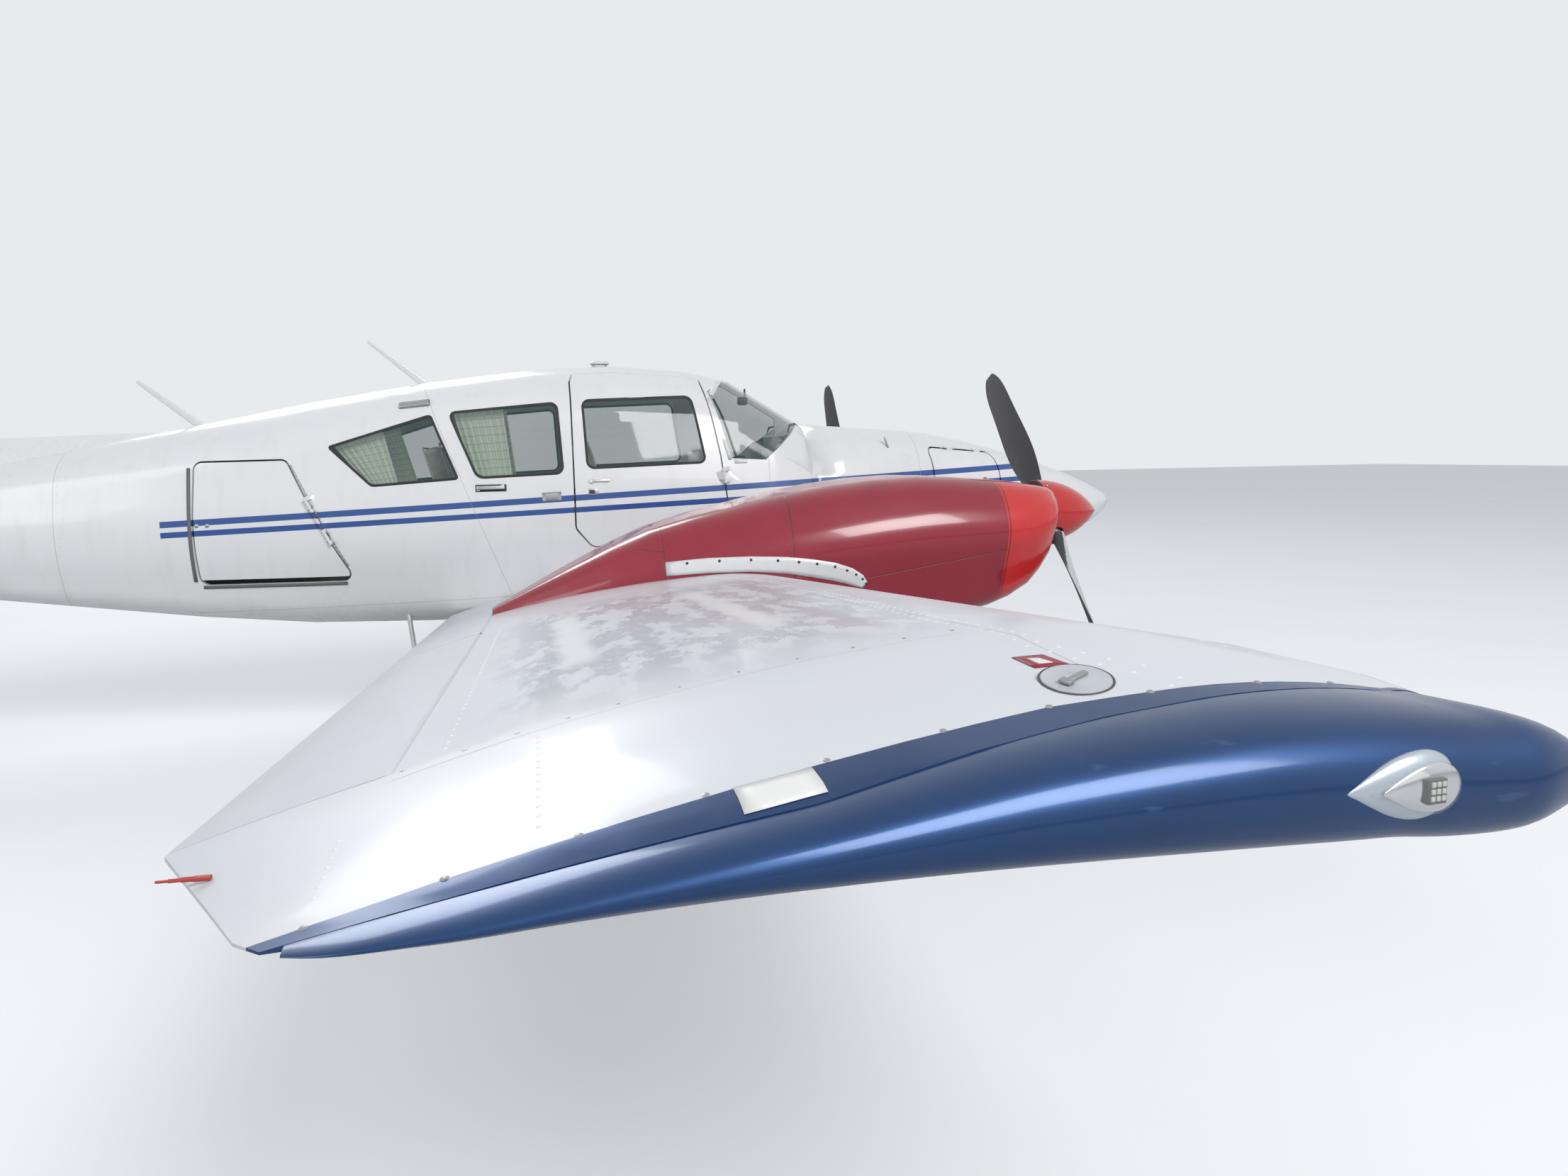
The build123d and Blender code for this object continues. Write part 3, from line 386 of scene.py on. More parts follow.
wing_finish = finish("wing_white", wing_white)
for side in ("right", "left"):
    dress(wing_finish, f"wing_{side}", f"aileron_{side}", f"flap_{side}")

# %% [markdown]
# ## White paint on the tail
# Fin, rudder and tailplane are stiffened by ribs that show as lines of flush rivets along the chord. The
# tail's seams follow heights on the fin and distances from the middle on the tailplane, so both patterns
# are laid, and a mask by height picks one.

# %% Tail white
def tail_white(place):
    x, y, z = place.axes()
    fin_part = z.rise(1.25, 1.26)
    level = fin_part * z + (1 - fin_part) * abs(y)
    ribs = dots(x, (level % 0.36) - 0.18, 0.04, 0.003)
    seams = (x + 4.02).line(0.0012) * (1 - fin_part) + (z - 2.93).line(0.0012) + (abs(y) - 1.86).line(0.0012)
    wear = place.noise(3, 3)
    tone = (wear.rise(0.35, 0.8) * 0.25).mix(white, colour(0.60, 0.62, 0.63))
    return {
        "Base Color": ((seams + ribs * 0.5) * 0.6).mix(tone, seam_grey),
        "Roughness": wear * 0.15 + 0.2,
        "Normal": (place.noise(6, 1) * 0.001 - seams * 0.0005 - ribs * 0.0002).bump(),
        "Coat Weight": 0.3,
    }


tail_finish = finish("tail_white", tail_white)
dress(tail_finish, "fin", "rudder", "stabilator", "aerial_front", "aerial_rear")

# %% [markdown]
# ## Crimson on the nacelles and spinners
# The cowl is made of panels, so its seams are rings at a few stations and two lines along its side. The
# front bowl was painted another day and is a brighter red. Both engines share one finish: their middle
# lies at the same distance from the centre line, so sums on the distance serve left and right.

# %% Nacelle and spinner reds
engine_y, hub_z = 1.80, 1.228


def nacelle_red(place):
    x, y, z = place.axes()
    aside = abs(y) - engine_y
    rings = (x - 1.351).line(0.0016) + (x - 1.895).line(0.0022) + (x - 2.875 - z * 0.01).line(0.0028)
    low = (z - 1.015 - (x - 2.4) * 0.155).line(0.002) * x.rise(2.1, 2.11) * (1 - x.rise(2.87, 2.88))
    back = (z - 1.12 + (x - 1.35) * 0.1).line(0.0014) * (1 - x.rise(1.35, 1.36)) * x.rise(0.6, 0.61)
    seams = rings + low + back
    screws = dots(z, x - 1.375, 0.085, 0.0045) + dots(z, x - 1.872, 0.085, 0.0045)
    screws = screws + dots(z, x - 2.852, 0.09, 0.0045)
    bowl = x.rise(2.874, 2.878)
    fade = place.noise(3.0, 3.0)
    deep = fade.mix(colour(0.23, 0.005, 0.019), colour(0.32, 0.008, 0.029))
    bright = fade.mix(colour(0.52, 0.012, 0.012), colour(0.60, 0.02, 0.02))
    tone = bowl.mix(deep, bright)
    soot = (1 - z.rise(0.66, 0.95)) * (1 - x.rise(2.2, 2.6)) * place.noise(6, 4)
    tone = (soot * 0.6).mix(tone, colour(0.03, 0.02, 0.02))
    chips = x.rise(3.12, 3.19) * place.noise(60, 3).rise(0.62, 0.66)
    tone = (chips * 0.8).mix(tone, colour(0.55, 0.5, 0.48))
    return {
        "Base Color": (seams * 0.75 + screws * 0.35).mix(tone, colour(0.05, 0.004, 0.006)),
        "Roughness": fade * 0.12 + 0.20 + soot * 0.4,
        "Normal": (place.noise(5, 1) * 0.0013 - seams * 0.0008 - screws * 0.0003).bump(),
        "Coat Weight": 0.5,
        "Coat Roughness": 0.06,
    }


def spinner_red(place):
    x, y, z = place.axes()
    fade = place.noise(5, 3)
    ring = (x - 3.235).line(0.0015)
    nick = x.rise(3.40, 3.50) * place.noise(120, 2).rise(0.60, 0.63)
    tone = fade.mix(colour(0.46, 0.010, 0.014), colour(0.58, 0.016, 0.018))
    return {
        "Base Color": (ring * 0.8 + nick * 0.5).mix(tone, colour(0.10, 0.02, 0.02)),
        "Roughness": fade * 0.1 + 0.2,
        "Normal": (place.noise(30, 1) * 0.0001 - ring * 0.0005).bump(),
        "Coat Weight": 0.5,
    }


nacelle_finish = finish("nacelle_red", nacelle_red)
spinner_finish = finish("spinner_red", spinner_red)
for side in ("right", "left"):
    dress(nacelle_finish, f"nacelle_{side}")
    dress(spinner_finish, f"spinner_{side}")

# %% [markdown]
# ## Propeller blades
# The rear faces are black so that they don't dazzle the pilot, the front faces are bare metal, and stones
# have rubbed the paint off the leading edges. The side of a face is read from its normal, which turns with
# the blade.

# %% Blade black and bare metal
def blade_finish_nodes(place):
    normal = place.add("ShaderNodeNewGeometry", out="Normal")
    ahead = normal.axes()[0]
    wear = place.noise(55, 3)
    front = (ahead + wear * 0.25 - 0.10).rise(0.35, 0.5)
    x, y, z = place.axes()
    aside, above = abs(y) - engine_y, z - hub_z
    hub = 1 - (aside * aside + above * above).root().rise(0.165, 0.175)
    metal = colour(0.62, 0.63, 0.65)
    black = wear.mix(colour(0.012, 0.012, 0.015), colour(0.035, 0.035, 0.04))
    grain = place.stretch(1, 1, 40).noise(30, 2)
    bare = (front + hub).least(1.0)
    return {
        "Base Color": bare.mix(black, metal),
        "Metallic": bare,
        "Roughness": 0.42 - bare * 0.10 + wear * 0.12,
        "Normal": (grain * 0.00002 + wear * 0.00003).bump(),
    }


blade_finish = finish("blade_black", blade_finish_nodes)
dress(blade_finish, "propeller_right", "propeller_left")

# %% [markdown]
# ## Window acrylic
# The panes are dark blue-green acrylic about 6 mm thick. Light has to pass both ways, so the pane is a mix
# of a tinted see-through shader and a mirror-like gloss whose share grows towards grazing angles. That is
# quicker and cleaner than glass with real refraction, and its export is simple.

# %% Panes
def pane_finish(name, tint, clear):
    material = finish(name, lambda place: {
        "Base Color": place.noise(3, 2).mix(tint, colour(*[level * 1.3 for level in tint[:3]])),
        "Roughness": place.noise(9, 2) * 0.03 + 0.02,
        "Alpha": place.noise(2, 2) * 0.06 + (1 - clear),
        "Coat Weight": 1.0,
        "Coat Roughness": 0.02,
        "IOR": 1.49,
    })
    material.surface_render_method = "BLENDED"
    return material


cabin_glass = pane_finish("tinted_acrylic", colour(0.040, 0.095, 0.105), 0.80)
dress(cabin_glass, "windscreen", "window_left_front", "window_left_middle", "window_left_rear",
      "window_right_middle", "window_right_rear", "cabin_door_window")
lens_glass = pane_finish("clear_lens", colour(0.50, 0.53, 0.55), 0.86)
dress(lens_glass, "nav_lamp_right", "nav_lamp_left")

# %% [markdown]
# ## Rubber, metal and plastic
# Tyres have grooves round them, which are bands in the distance from each wheel's middle plane. Legs are
# painted steel with a chromed piston, wheels are cast and painted, and the engines are rough castings.

# %% Tyres, wheels, legs and engines
wheel_planes = {"main_tyre_right": -1.725, "main_tyre_left": 1.725, "nose_tyre": 0.0}


def tyre_black(middle, radius, centre_x, grooves):
    def paint(place):
        x, y, z = place.axes()
        across = y - middle
        tread = 0
        for at in grooves:
            tread = (abs(across) - at).line(0.004, 0.001) + tread
        up, along = z - radius, x - centre_x
        reach = (up * up + along * along).root()
        face = reach.rise(radius * 0.90, radius * 0.93)
        ribs = (reach - radius * 0.62).line(0.002) + (reach - radius * 0.78).line(0.0015)
        dust = place.noise(25, 4)
        tone = (dust * 0.55).mix(colour(0.012, 0.012, 0.013), colour(0.09, 0.085, 0.075))
        return {
            # painted shade: the tread's grooves are drawn darker than the rubber round them
            "Base Color": (tread * face).mix(tone, colour(0.004, 0.004, 0.004)),
            "Roughness": dust * 0.15 + 0.72,
            "Normal": (dust * 0.0003 - tread * face * 0.004 + ribs * (1 - face) * 0.001).bump(),
        }
    return paint


for name, middle in wheel_planes.items():
    radius, centre_x = (0.222, 3.34) if name == "nose_tyre" else (0.238, 1.05)
    grooves = (0.0, 0.03) if name == "nose_tyre" else (0.012, 0.042)
    dress(finish(name + "_rubber", tyre_black(middle, radius, centre_x, grooves)), name)


def worn_metal(base, rough, metallic, dirt=0.3, grain=160):
    """Painted or bare metal with patches of grime, as a finish function."""
    def paint(place):
        dust = place.noise(18, 4)
        fine = place.noise(grain, 2)
        return {
            "Base Color": (dust.rise(0.45, 0.8) * dirt).mix(base, colour(0.10, 0.085, 0.07)),
            "Metallic": metallic,
            "Roughness": dust * 0.15 + fine * 0.1 + rough,
            "Normal": (fine * 0.00006).bump(),
        }
    return paint


def leg_steel(place):
    x, y, z = place.axes()
    chrome = (1 - z.rise(0.425, 0.43)) * z.rise(0.27, 0.28)
    dust = place.noise(14, 4)
    enamel = (dust * 0.4).mix(colour(0.60, 0.61, 0.62), colour(0.16, 0.14, 0.12))
    tone = chrome.mix(enamel, colour(0.82, 0.82, 0.83))
    return {"Base Color": tone, "Metallic": chrome, "Roughness": 0.42 - chrome * 0.34 + dust * 0.1,
            "Normal": (place.noise(140, 2) * 0.00008).bump()}


leg_finish = finish("leg_enamel", leg_steel)
dress(leg_finish, "main_leg_right", "main_leg_left", "nose_leg", "nose_fork")
tube_finish = finish("polished_tube", worn_metal(colour(0.72, 0.73, 0.74), 0.15, 1.0, 0.2))
dress(tube_finish, "boarding_step")
wheel_finish = finish("cast_wheel", worn_metal(colour(0.66, 0.67, 0.68), 0.3, 0.6, 0.6))
dress(wheel_finish, "main_wheel_right", "main_wheel_left", "nose_wheel")
casting = worn_metal(colour(0.16, 0.16, 0.165), 0.5, 0.5, 0.7, 60)
engine_finish = finish("engine_casting", casting)
dress(engine_finish, "engine_right", "engine_left")


def panel_black(place):
    x, y, z = place.axes()
    crackle = place.noise(380, 2)
    wood = place.stretch(1, 1, 12).noise(6, 4)
    face = (1 - x.rise(2.082, 2.086)) * z.rise(1.19, 1.20)
    tone = wood.mix(colour(0.020, 0.020, 0.022), colour(0.045, 0.045, 0.048))
    return {"Base Color": (face * 0.4).mix(tone, colour(0.10, 0.10, 0.105)), "Roughness": crackle * 0.1 + 0.5,
            "Normal": (crackle * 0.0001).bump()}


panel_finish = finish("panel_black", panel_black)
dress(panel_finish, "instrument_panel")
print("finishes:", len(bpy.data.materials))

# %% [markdown]
# ## Helpers that seat pieces on the skin
# Small fittings have to touch the skin exactly. A BVH tree answers where a ray meets the CAD surface, and
# the normal there turns the piece to stand on it. Pieces keep their place in their mesh, so their objects
# stay at the origin, as the exporter wants.

# %% Rays onto the skin, and finished pieces
def skin(*names):
    """A tree of CAD surfaces to shoot rays at."""
    shell = bmesh.new()
    for name in names:
        shell.from_mesh(nodes[name].data)
    tree = BVHTree.FromBMesh(shell)
    shell.free()
    return tree


def hit(tree, start, direction):
    """Where a ray meets the skin, and the skin's normal there, turned against the ray."""
    direction = Vector(direction).normalized()
    place, normal = tree.ray_cast(Vector(start), direction)[:2]
    return place, (normal if normal.dot(direction) < 0 else -normal)


def down(tree, x, y):
    return hit(tree, (x, y, 3), (0, 0, -1))


def inwards(tree, x, z, side=-1):
    return hit(tree, (x, 2 * side, z), (0, -side, 0))


def near(tree, point, middle=1.25):
    """The nearest place of the skin, and its normal, turned away from the fuselage's middle line."""
    place, normal = tree.find_nearest(Vector(point))[:2]
    outward = place - Vector((place.x, 0, middle))
    return place, (normal if normal.dot(outward) > 0 else -normal)


def stand(place, normal, along=(1, 0, 0)):
    """The matrix of a piece that stands on a surface: its Z is the normal, its X lies along."""
    up = Vector(normal).normalized()
    across = up.cross(Vector(along)).normalized()
    ahead = across.cross(up)
    return Matrix.Translation(place) @ Matrix((ahead, across, up)).transposed().to_4x4()


def piece(name, mesh, material, body="airframe", smooth=True, recalculate=True, width=0):
    """A bmesh becomes an object that rides on a body. width bevels its sharp edges a little."""
    bmesh.ops.remove_doubles(mesh, verts=mesh.verts[:], dist=1e-5)
    if recalculate:
        bmesh.ops.recalc_face_normals(mesh, faces=mesh.faces[:])
    data = bpy.data.meshes.new(name)
    mesh.to_mesh(data)
    mesh.free()
    made = bpy.data.objects.new(name, data)
    scene.collection.objects.link(made)
    data.materials.append(material)
    if smooth:
        data.shade_smooth()
        data.set_sharp_from_angle(angle=radians(35))
    if width:
        rim = made.modifiers.new("soft_edges", "BEVEL")
        rim.width, rim.segments, rim.limit_method = width, 2, "ANGLE"
    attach(made, body)
    return made


def place_in(mesh, part, matrix):
    """A small finished bmesh joins a larger one, placed by a matrix."""
    part.transform(matrix)
    data = bpy.data.meshes.new("part")
    part.to_mesh(data)
    part.free()
    mesh.from_mesh(data)
    bpy.data.meshes.remove(data)


def turned(mesh, profile, matrix, steps=24):
    """A profile of distance from the axis and height, spun about Z and then placed."""
    part = bmesh.new()
    corners = [part.verts.new((reach, 0, height)) for reach, height in profile]
    edges = [part.edges.new(pair) for pair in zip(corners, corners[1:])]
    bmesh.ops.spin(part, geom=corners + edges, cent=(0, 0, 0), axis=(0, 0, 1), angle=2 * pi, steps=steps,
                   use_merge=True)
    bmesh.ops.remove_doubles(part, verts=part.verts[:], dist=1e-6)
    place_in(mesh, part, matrix)


def bar(mesh, matrix, size, bevel=0.0, segments=3):
    """A block of one size with rounded edges that stands on its matrix."""
    part = bmesh.new()
    middle = Matrix.Translation((0, 0, size[2] / 2))
    bmesh.ops.create_cube(part, size=1, matrix=middle @ Matrix.Diagonal((*size, 1)))
    if bevel:
        bmesh.ops.bevel(part, geom=part.edges[:], offset=bevel, segments=segments, profile=0.5,
                        affect="EDGES", material=-1)
    place_in(mesh, part, matrix)


def ribbon(mesh, rows):
    """A strip of faces through rows of points, made by extruding the first row's edges."""
    corners = [mesh.verts.new(place) for place in rows[0]]
    edges = [mesh.edges.new(pair) for pair in zip(corners, corners[1:])]
    for row in rows[1:]:
        grown = bmesh.ops.extrude_edge_only(mesh, edges=edges)["geom"]
        fresh = [item for item in grown if isinstance(item, bmesh.types.BMVert)]
        edges = [item for item in grown if isinstance(item, bmesh.types.BMEdge) and
                 all(corner in fresh for corner in item.verts)]
        ordered = [next(edge.other_vert(corner) for edge in corner.link_edges
                        if edge.other_vert(corner) in fresh) for corner in corners]
        for corner, place in zip(ordered, row):
            corner.co = place
        corners = ordered
        edges = [next(edge for edge in a.link_edges if edge.other_vert(a) is b)
                 for a, b in zip(corners, corners[1:])]


def walk(points, pitch):
    """Points at an even pitch along a run of straight lines."""
    points = [Vector(point) for point in points]
    for here, there in zip(points, points[1:]):
        count = max(1, round((there - here).length / pitch))
        for number in range(count):
            yield here.lerp(there, number / count)
    yield points[-1]


def heads(mesh, places, radius, height=0.0008, sides=8):
    """Low rivet or screw heads, each standing on its place and normal."""
    for place, normal in places:
        bmesh.ops.create_cone(mesh, cap_ends=True, segments=sides, radius1=radius, radius2=radius * 0.55,
                              depth=height,
                              matrix=stand(place, normal) @ Matrix.Translation((0, 0, height * 0.35)))


def rod(mesh, here, there, radius, share=1.0, extra=0.0, sides=10, matrix=Matrix()):
    """A short round rod between two places, a share of the way long, or a little longer by extra."""
    along = there - here
    turn = along.to_track_quat("Z", "Y").to_matrix().to_4x4()
    bmesh.ops.create_cone(mesh, cap_ends=True, segments=sides, radius1=radius, radius2=radius,
                          depth=along.length * share + extra,
                          matrix=matrix @ Matrix.Translation((here + there) / 2) @ turn)


print("helpers ready")

# %% [markdown]
# ## Window seals and frame strips
# Every pane sits in a dark rubber seal, and aluminium strips with screws hold the windscreen. A seal is a
# flat ring: the window's outline with its corners bevelled, and an inset of it. Rays then lay the ring on
# the curved side. Modelling flat first keeps its width even all round.

# %% Seals round the panes
def plain(base, rough, metallic=0.0, grain=90, depth=0.00008, vary=0.25, coat=0.0):
    """A finish for small fittings: one colour that varies a little, with a fine grain."""
    def paint(place):
        cloud = place.noise(grain * 0.2, 3)
        dark = colour(*[level * (1 - vary) for level in base[:3]])
        return {
            "Base Color": cloud.mix(dark, base),
            "Metallic": metallic,
            "Roughness": place.noise(grain, 2) * 0.1 + rough,
            "Normal": (place.noise(grain * 3, 2) * depth).bump(),
            "Coat Weight": coat,
        }
    return paint


seal_rubber = finish("seal_rubber", plain(colour(0.018, 0.018, 0.020), 0.55))
trim_white = finish("trim_white", plain(colour(0.74, 0.745, 0.75), 0.28, coat=0.3, vary=0.1))
screw_steel = finish("screw_steel", plain(colour(0.42, 0.42, 0.43), 0.35, 0.8))
dark_screw = finish("dark_screw", plain(colour(0.05, 0.05, 0.055), 0.45, 0.5))
chrome = finish("chrome", plain(colour(0.78, 0.78, 0.79), 0.12, 1.0))

body_skin = skin("cabin_shell", "rear_fuselage", "cabin_door", "rear_baggage_door", "nose_section",
                 "nose_baggage_door", "windscreen", "cabin_door_window", "window_right_middle",
                 "window_right_rear", "window_left_front", "window_left_middle", "window_left_rear")


def thicken(made, depth):
    """Gives a sheet its thickness, outwards from where it lies."""
    wall = made.modifiers.new("thickness", "SOLIDIFY")
    wall.thickness, wall.offset, wall.use_even_offset = depth, 1, True
    return made


def ring_on_side(name, outline, corner, width, side, material, body="airframe", lift=0.0006, depth=0.0018,
                 solid=False):
    """A ring inside an outline of x and z, or a whole plate, laid on the fuselage's side."""
    flat = bmesh.new()
    flat.faces.new([flat.verts.new((x, 0, z)) for x, z in outline])
    bmesh.ops.bevel(flat, geom=flat.verts[:], offset=corner, segments=6, profile=0.5, affect="VERTICES",
                    material=-1)
    bmesh.ops.subdivide_edges(flat, edges=[edge for edge in flat.edges if edge.calc_length() > 0.09], cuts=7)
    flat.normal_update()
    inset = bmesh.ops.inset_region(flat, faces=flat.faces[:], thickness=width, use_even_offset=True,
                                   use_boundary=True)
    ring = set(inset["faces"])
    if not solid:
        bmesh.ops.delete(flat, geom=[face for face in flat.faces if face not in ring], context="FACES")
    for point in flat.verts:
        place, normal = inwards(body_skin, point.co.x, point.co.z, side)
        point.co = place + normal * lift
    for face in flat.faces:
        face.normal_update()
        if face.normal.y * side < 0:
            face.normal_flip()
    return thicken(piece(name, flat, material, body, recalculate=False), depth)


window_outlines = {
    "front": (((1.091, 1.846), (1.716, 1.868), (1.785, 1.480), (1.106, 1.458)), 0.045),
    "middle": (((0.370, 1.782), (0.963, 1.835), (0.984, 1.434), (0.514, 1.416)), 0.045),
    "rear": (((-0.255, 1.602), (0.285, 1.771), (0.424, 1.415), (-0.034, 1.384)), 0.024),
}
for place, (outline, corner) in window_outlines.items():
    for side, word in ((-1, "right"), (1, "left")):
        rider = "cabin_door" if (place, side) == ("front", -1) else "airframe"
        ring_on_side(f"seal_{place}_{word}", outline, corner, 0.013, side, seal_rubber, rider)
print("seals:", len(window_outlines) * 2)

# %% [markdown]
# ## Windscreen strips
# A strip follows a path on the skin. At each point the direction across it is the skin's normal crossed
# with the way along the path, so the strip twists with the surface by itself. Two rows of points are made
# and the first row's edge is extruded through them.

# %% Strips and their screws
def strip(name, path, width, material, body="airframe", lift=0.0005, depth=0.0016):
    rows = []
    for number, (place, normal) in enumerate(path):
        before, after = path[max(number - 1, 0)][0], path[min(number + 1, len(path) - 1)][0]
        across = normal.cross(after - before).normalized() * width / 2
        rows.append([place - across + normal * lift, place + normal * (lift + 0.0003),
                     place + across + normal * lift])
    mesh = bmesh.new()
    ribbon(mesh, rows)
    for face in mesh.faces:
        face.normal_update()
    if sum(face.normal.dot(path[len(path) // 2][1]) for face in mesh.faces) < 0:
        bmesh.ops.reverse_faces(mesh, faces=mesh.faces[:])
    return thicken(piece(name, mesh, material, body, recalculate=False), depth)


def skin_path(points, side, pitch=0.04, push=0.004):
    """Points near the skin, walked at a pitch on one side of the fuselage and laid on it."""
    laid = []
    for point in walk([(x, y * side, z) for x, y, z in points], pitch):
        outward = (point - Vector((point.x, 0, 1.25))).normalized()
        laid.append(near(body_skin, point + outward * push))
    return laid


frame_screws = bmesh.new()
sill_line = ((2.395, 0.215, 1.700), (2.322, 0.300, 1.660), (2.150, 0.470, 1.478), (1.945, 0.553, 1.488))
post_line = ((1.925, 0.555, 1.50), (1.822, 0.425, 1.855))
seal_line = ((2.40, 0.200, 1.712), (2.325, 0.290, 1.682), (2.145, 0.455, 1.502), (1.957, 0.540, 1.512),
             (1.850, 0.420, 1.850))
for side, word in ((-1, "right"), (1, "left")):
    strip(f"windscreen_sill_{word}", skin_path(sill_line, side), 0.026, trim_white)
    strip(f"windscreen_post_{word}", skin_path(post_line, side), 0.030, trim_white)
    strip(f"windscreen_seal_{word}", skin_path(seal_line, side), 0.014, seal_rubber)
    screws = skin_path(sill_line, side, 0.05) + skin_path(post_line, side, 0.05)
    heads(frame_screws, [(place + normal * 0.002, normal) for place, normal in screws], 0.0036)
piece("windscreen_screws", frame_screws, screw_steel)
header_line = ((1.842, 0.40, 1.878), (1.90, 0.27, 1.945), (1.945, 0.12, 1.965), (1.955, 0, 1.968))
header = skin_path(header_line, -1) + skin_path(header_line, 1)[-2::-1]
strip("windscreen_header", header, 0.030, trim_white)
print("windscreen strips made")

# %% [markdown]
# ## Seats
# The cabin has two front seats and two benches for two people each, in cream leather with grey cloth in the
# middle. A cushion is blown up by Blender's cloth solver: a rounded block is remeshed into small even
# quads, the solver's pressure crowns it while its seams pull in, and the result is kept as a plain mesh.
# One cushion and one back are simulated, and every other seat reuses them, scaled to its width.

# %% Leather, cloth and the cushion solver
def leather(place):
    x, y, z = place.axes()
    grain = place.noise(420, 3, 0.6)
    creases = place.stretch(1, 2, 2).noise(28, 4)
    worn = place.noise(6, 2)
    # painted shade: the leather is drawn darker where the crease noise is high, along the creases that it
    # also bumps in
    tone = (creases.rise(0.5, 0.75) * 0.5).mix(colour(0.60, 0.56, 0.47), colour(0.46, 0.42, 0.34))
    return {
        "Base Color": (worn.rise(0.5, 0.8) * 0.4).mix(tone, colour(0.66, 0.63, 0.56)),
        "Roughness": grain * 0.12 + 0.42,
        "Normal": (grain * 0.0002 + creases * 0.0008).bump(),
        "Sheen Weight": 0.1,
    }


seat_leather = finish("seat_leather", leather)


def stuffed(size, pressure=4.0, reach=0.022):
    """A padded block of one size, crowned by the cloth solver. Its middle is at the origin."""
    mesh = bmesh.new()
    slimmer = [length - reach for length in size]
    bmesh.ops.create_cube(mesh, size=1, matrix=Matrix.Diagonal((*slimmer, 1)))
    bmesh.ops.bevel(mesh, geom=mesh.edges[:], offset=0.03, segments=4, profile=0.5, affect="EDGES",
                    material=-1)
    data = bpy.data.meshes.new("stuffing")
    mesh.to_mesh(data)
    mesh.free()
    block = bpy.data.objects.new("stuffing", data)
    scene.collection.objects.link(block)
    remesh = block.modifiers.new("even_quads", "REMESH")
    remesh.mode, remesh.voxel_size = "VOXEL", 0.012
    cloth = block.modifiers.new("cloth", "CLOTH")
    cloth.settings.use_pressure, cloth.settings.uniform_pressure_force = True, pressure
    cloth.settings.effector_weights.gravity = 0
    cloth.point_cache.frame_start, cloth.point_cache.frame_end = 1, 20
    for frame_number in range(1, 21):
        scene.frame_set(frame_number)
    shape = bpy.data.meshes.new_from_object(block.evaluated_get(bpy.context.evaluated_depsgraph_get()))
    scene.frame_set(1)
    bpy.data.objects.remove(block)
    half = [length / 2 for length in size]
    for corner in shape.vertices:
        corner.co = [max(-limit, min(limit, value)) for value, limit in zip(corner.co, half)]
    return shape


cushion_size, back_size = (0.42, 0.43, 0.13), (0.13, 0.43, 0.50)
cushion_shape, back_shape = stuffed(cushion_size), stuffed(back_size)
print("cushion corners:", len(cushion_shape.vertices), "back corners:", len(back_shape.vertices))

# %% Each seat from the two shapes
piping_cream = finish("seat_piping", plain(colour(0.72, 0.70, 0.62), 0.5))


def channelled(mesh, size, across):
    """Presses three sewn channels into the padded faces."""
    for corner in mesh.verts:
        for at in (-0.25, 0.0, 0.25):
            gap = abs(corner.co[across] / size[across] - at) * size[across]
            if gap < 0.02:
                corner.co *= 1 - 0.05 * (1 - gap / 0.02) ** 2


def pad(name, shape, size, wanted, matrix, node):
    mesh = bmesh.new()
    mesh.from_mesh(shape)
    channelled(mesh, size, 1)
    scale = [new / old for new, old in zip(wanted, size)]
    bmesh.ops.scale(mesh, vec=scale, verts=mesh.verts[:])
    mesh.transform(matrix)
    made = piece(name, mesh, seat_leather)
    made.modifiers.new("smooth", "SUBSURF").levels = made.modifiers["smooth"].render_levels = 1
    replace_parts(made, node)
    return made


seat_level, back_level, plinth_level, pan_level, recline = 1.065, 1.375, 0.862, 0.975, -0.285
seat_rows = (
    ("seat_front_right", 1.700, (-0.245,), 0.430, 0.430),
    ("seat_front_left", 1.700, (0.245,), 0.430, 0.430),
    ("bench_middle", 0.860, (-0.225, 0.225), 0.440, 0.400),
    ("bench_rear", 0.120, (-0.185, 0.185), 0.360, 0.360),
)
frame_grey = finish("seat_frame_grey", plain(colour(0.16, 0.16, 0.165), 0.5, 0.3))
for node, front, middles, width, depth in seat_rows:
    for number, middle in enumerate(middles):
        label = f"{node}_{number}"
        seat_place = Matrix.Translation((front - depth / 2, middle, seat_level))
        pad(f"{label}_cushion", cushion_shape, cushion_size, (depth - 0.01, width - 0.01, 0.13), seat_place,
            node)
        back_place = Matrix.Translation((front - depth - 0.125, middle, back_level))
        lean = back_place @ Matrix.Rotation(recline, 4, "Y")
        pad(f"{label}_back", back_shape, back_size, (0.105, width - 0.015, 0.50), lean, node)
        plinth = bmesh.new()
        for foot_side in (-1, 1):
            foot = Matrix.Translation((front - depth / 2, middle + foot_side * width * 0.32, plinth_level))
            bar(plinth, foot, (depth * 0.8, 0.03, 0.135), 0.006)
        bar(plinth, Matrix.Translation((front - depth / 2, middle, pan_level)),
            (depth * 0.9, width * 0.8, 0.022), 0.005)
        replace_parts(piece(f"{label}_plinth", plinth, frame_grey), node)
        rim = bmesh.new()
        half = width / 2 - 0.03
        outline = ((-half, -0.22), (-half, 0.19), (-half * 0.75, 0.235), (half * 0.75, 0.235), (half, 0.19),
                   (half, -0.22))
        for face_x in (0.045, -0.045):
            loop = [Vector((face_x, y, z)) for y, z in outline]
            for here, there in zip(loop, loop[1:]):
                rod(rim, here, there, 0.005, extra=0.004, sides=8, matrix=lean)
        piece(f"{label}_piping", rim, piping_cream)
print("seats dressed:", len(seat_rows))

# %% [markdown] ## Curtains Pale green checked curtains hang gathered behind the middle and rear panes. A
# gathered curtain is a flat sheet whose width is taken up by folds, so it is a grid that waves in and out,
# with folds that are deeper and less regular towards the hem.

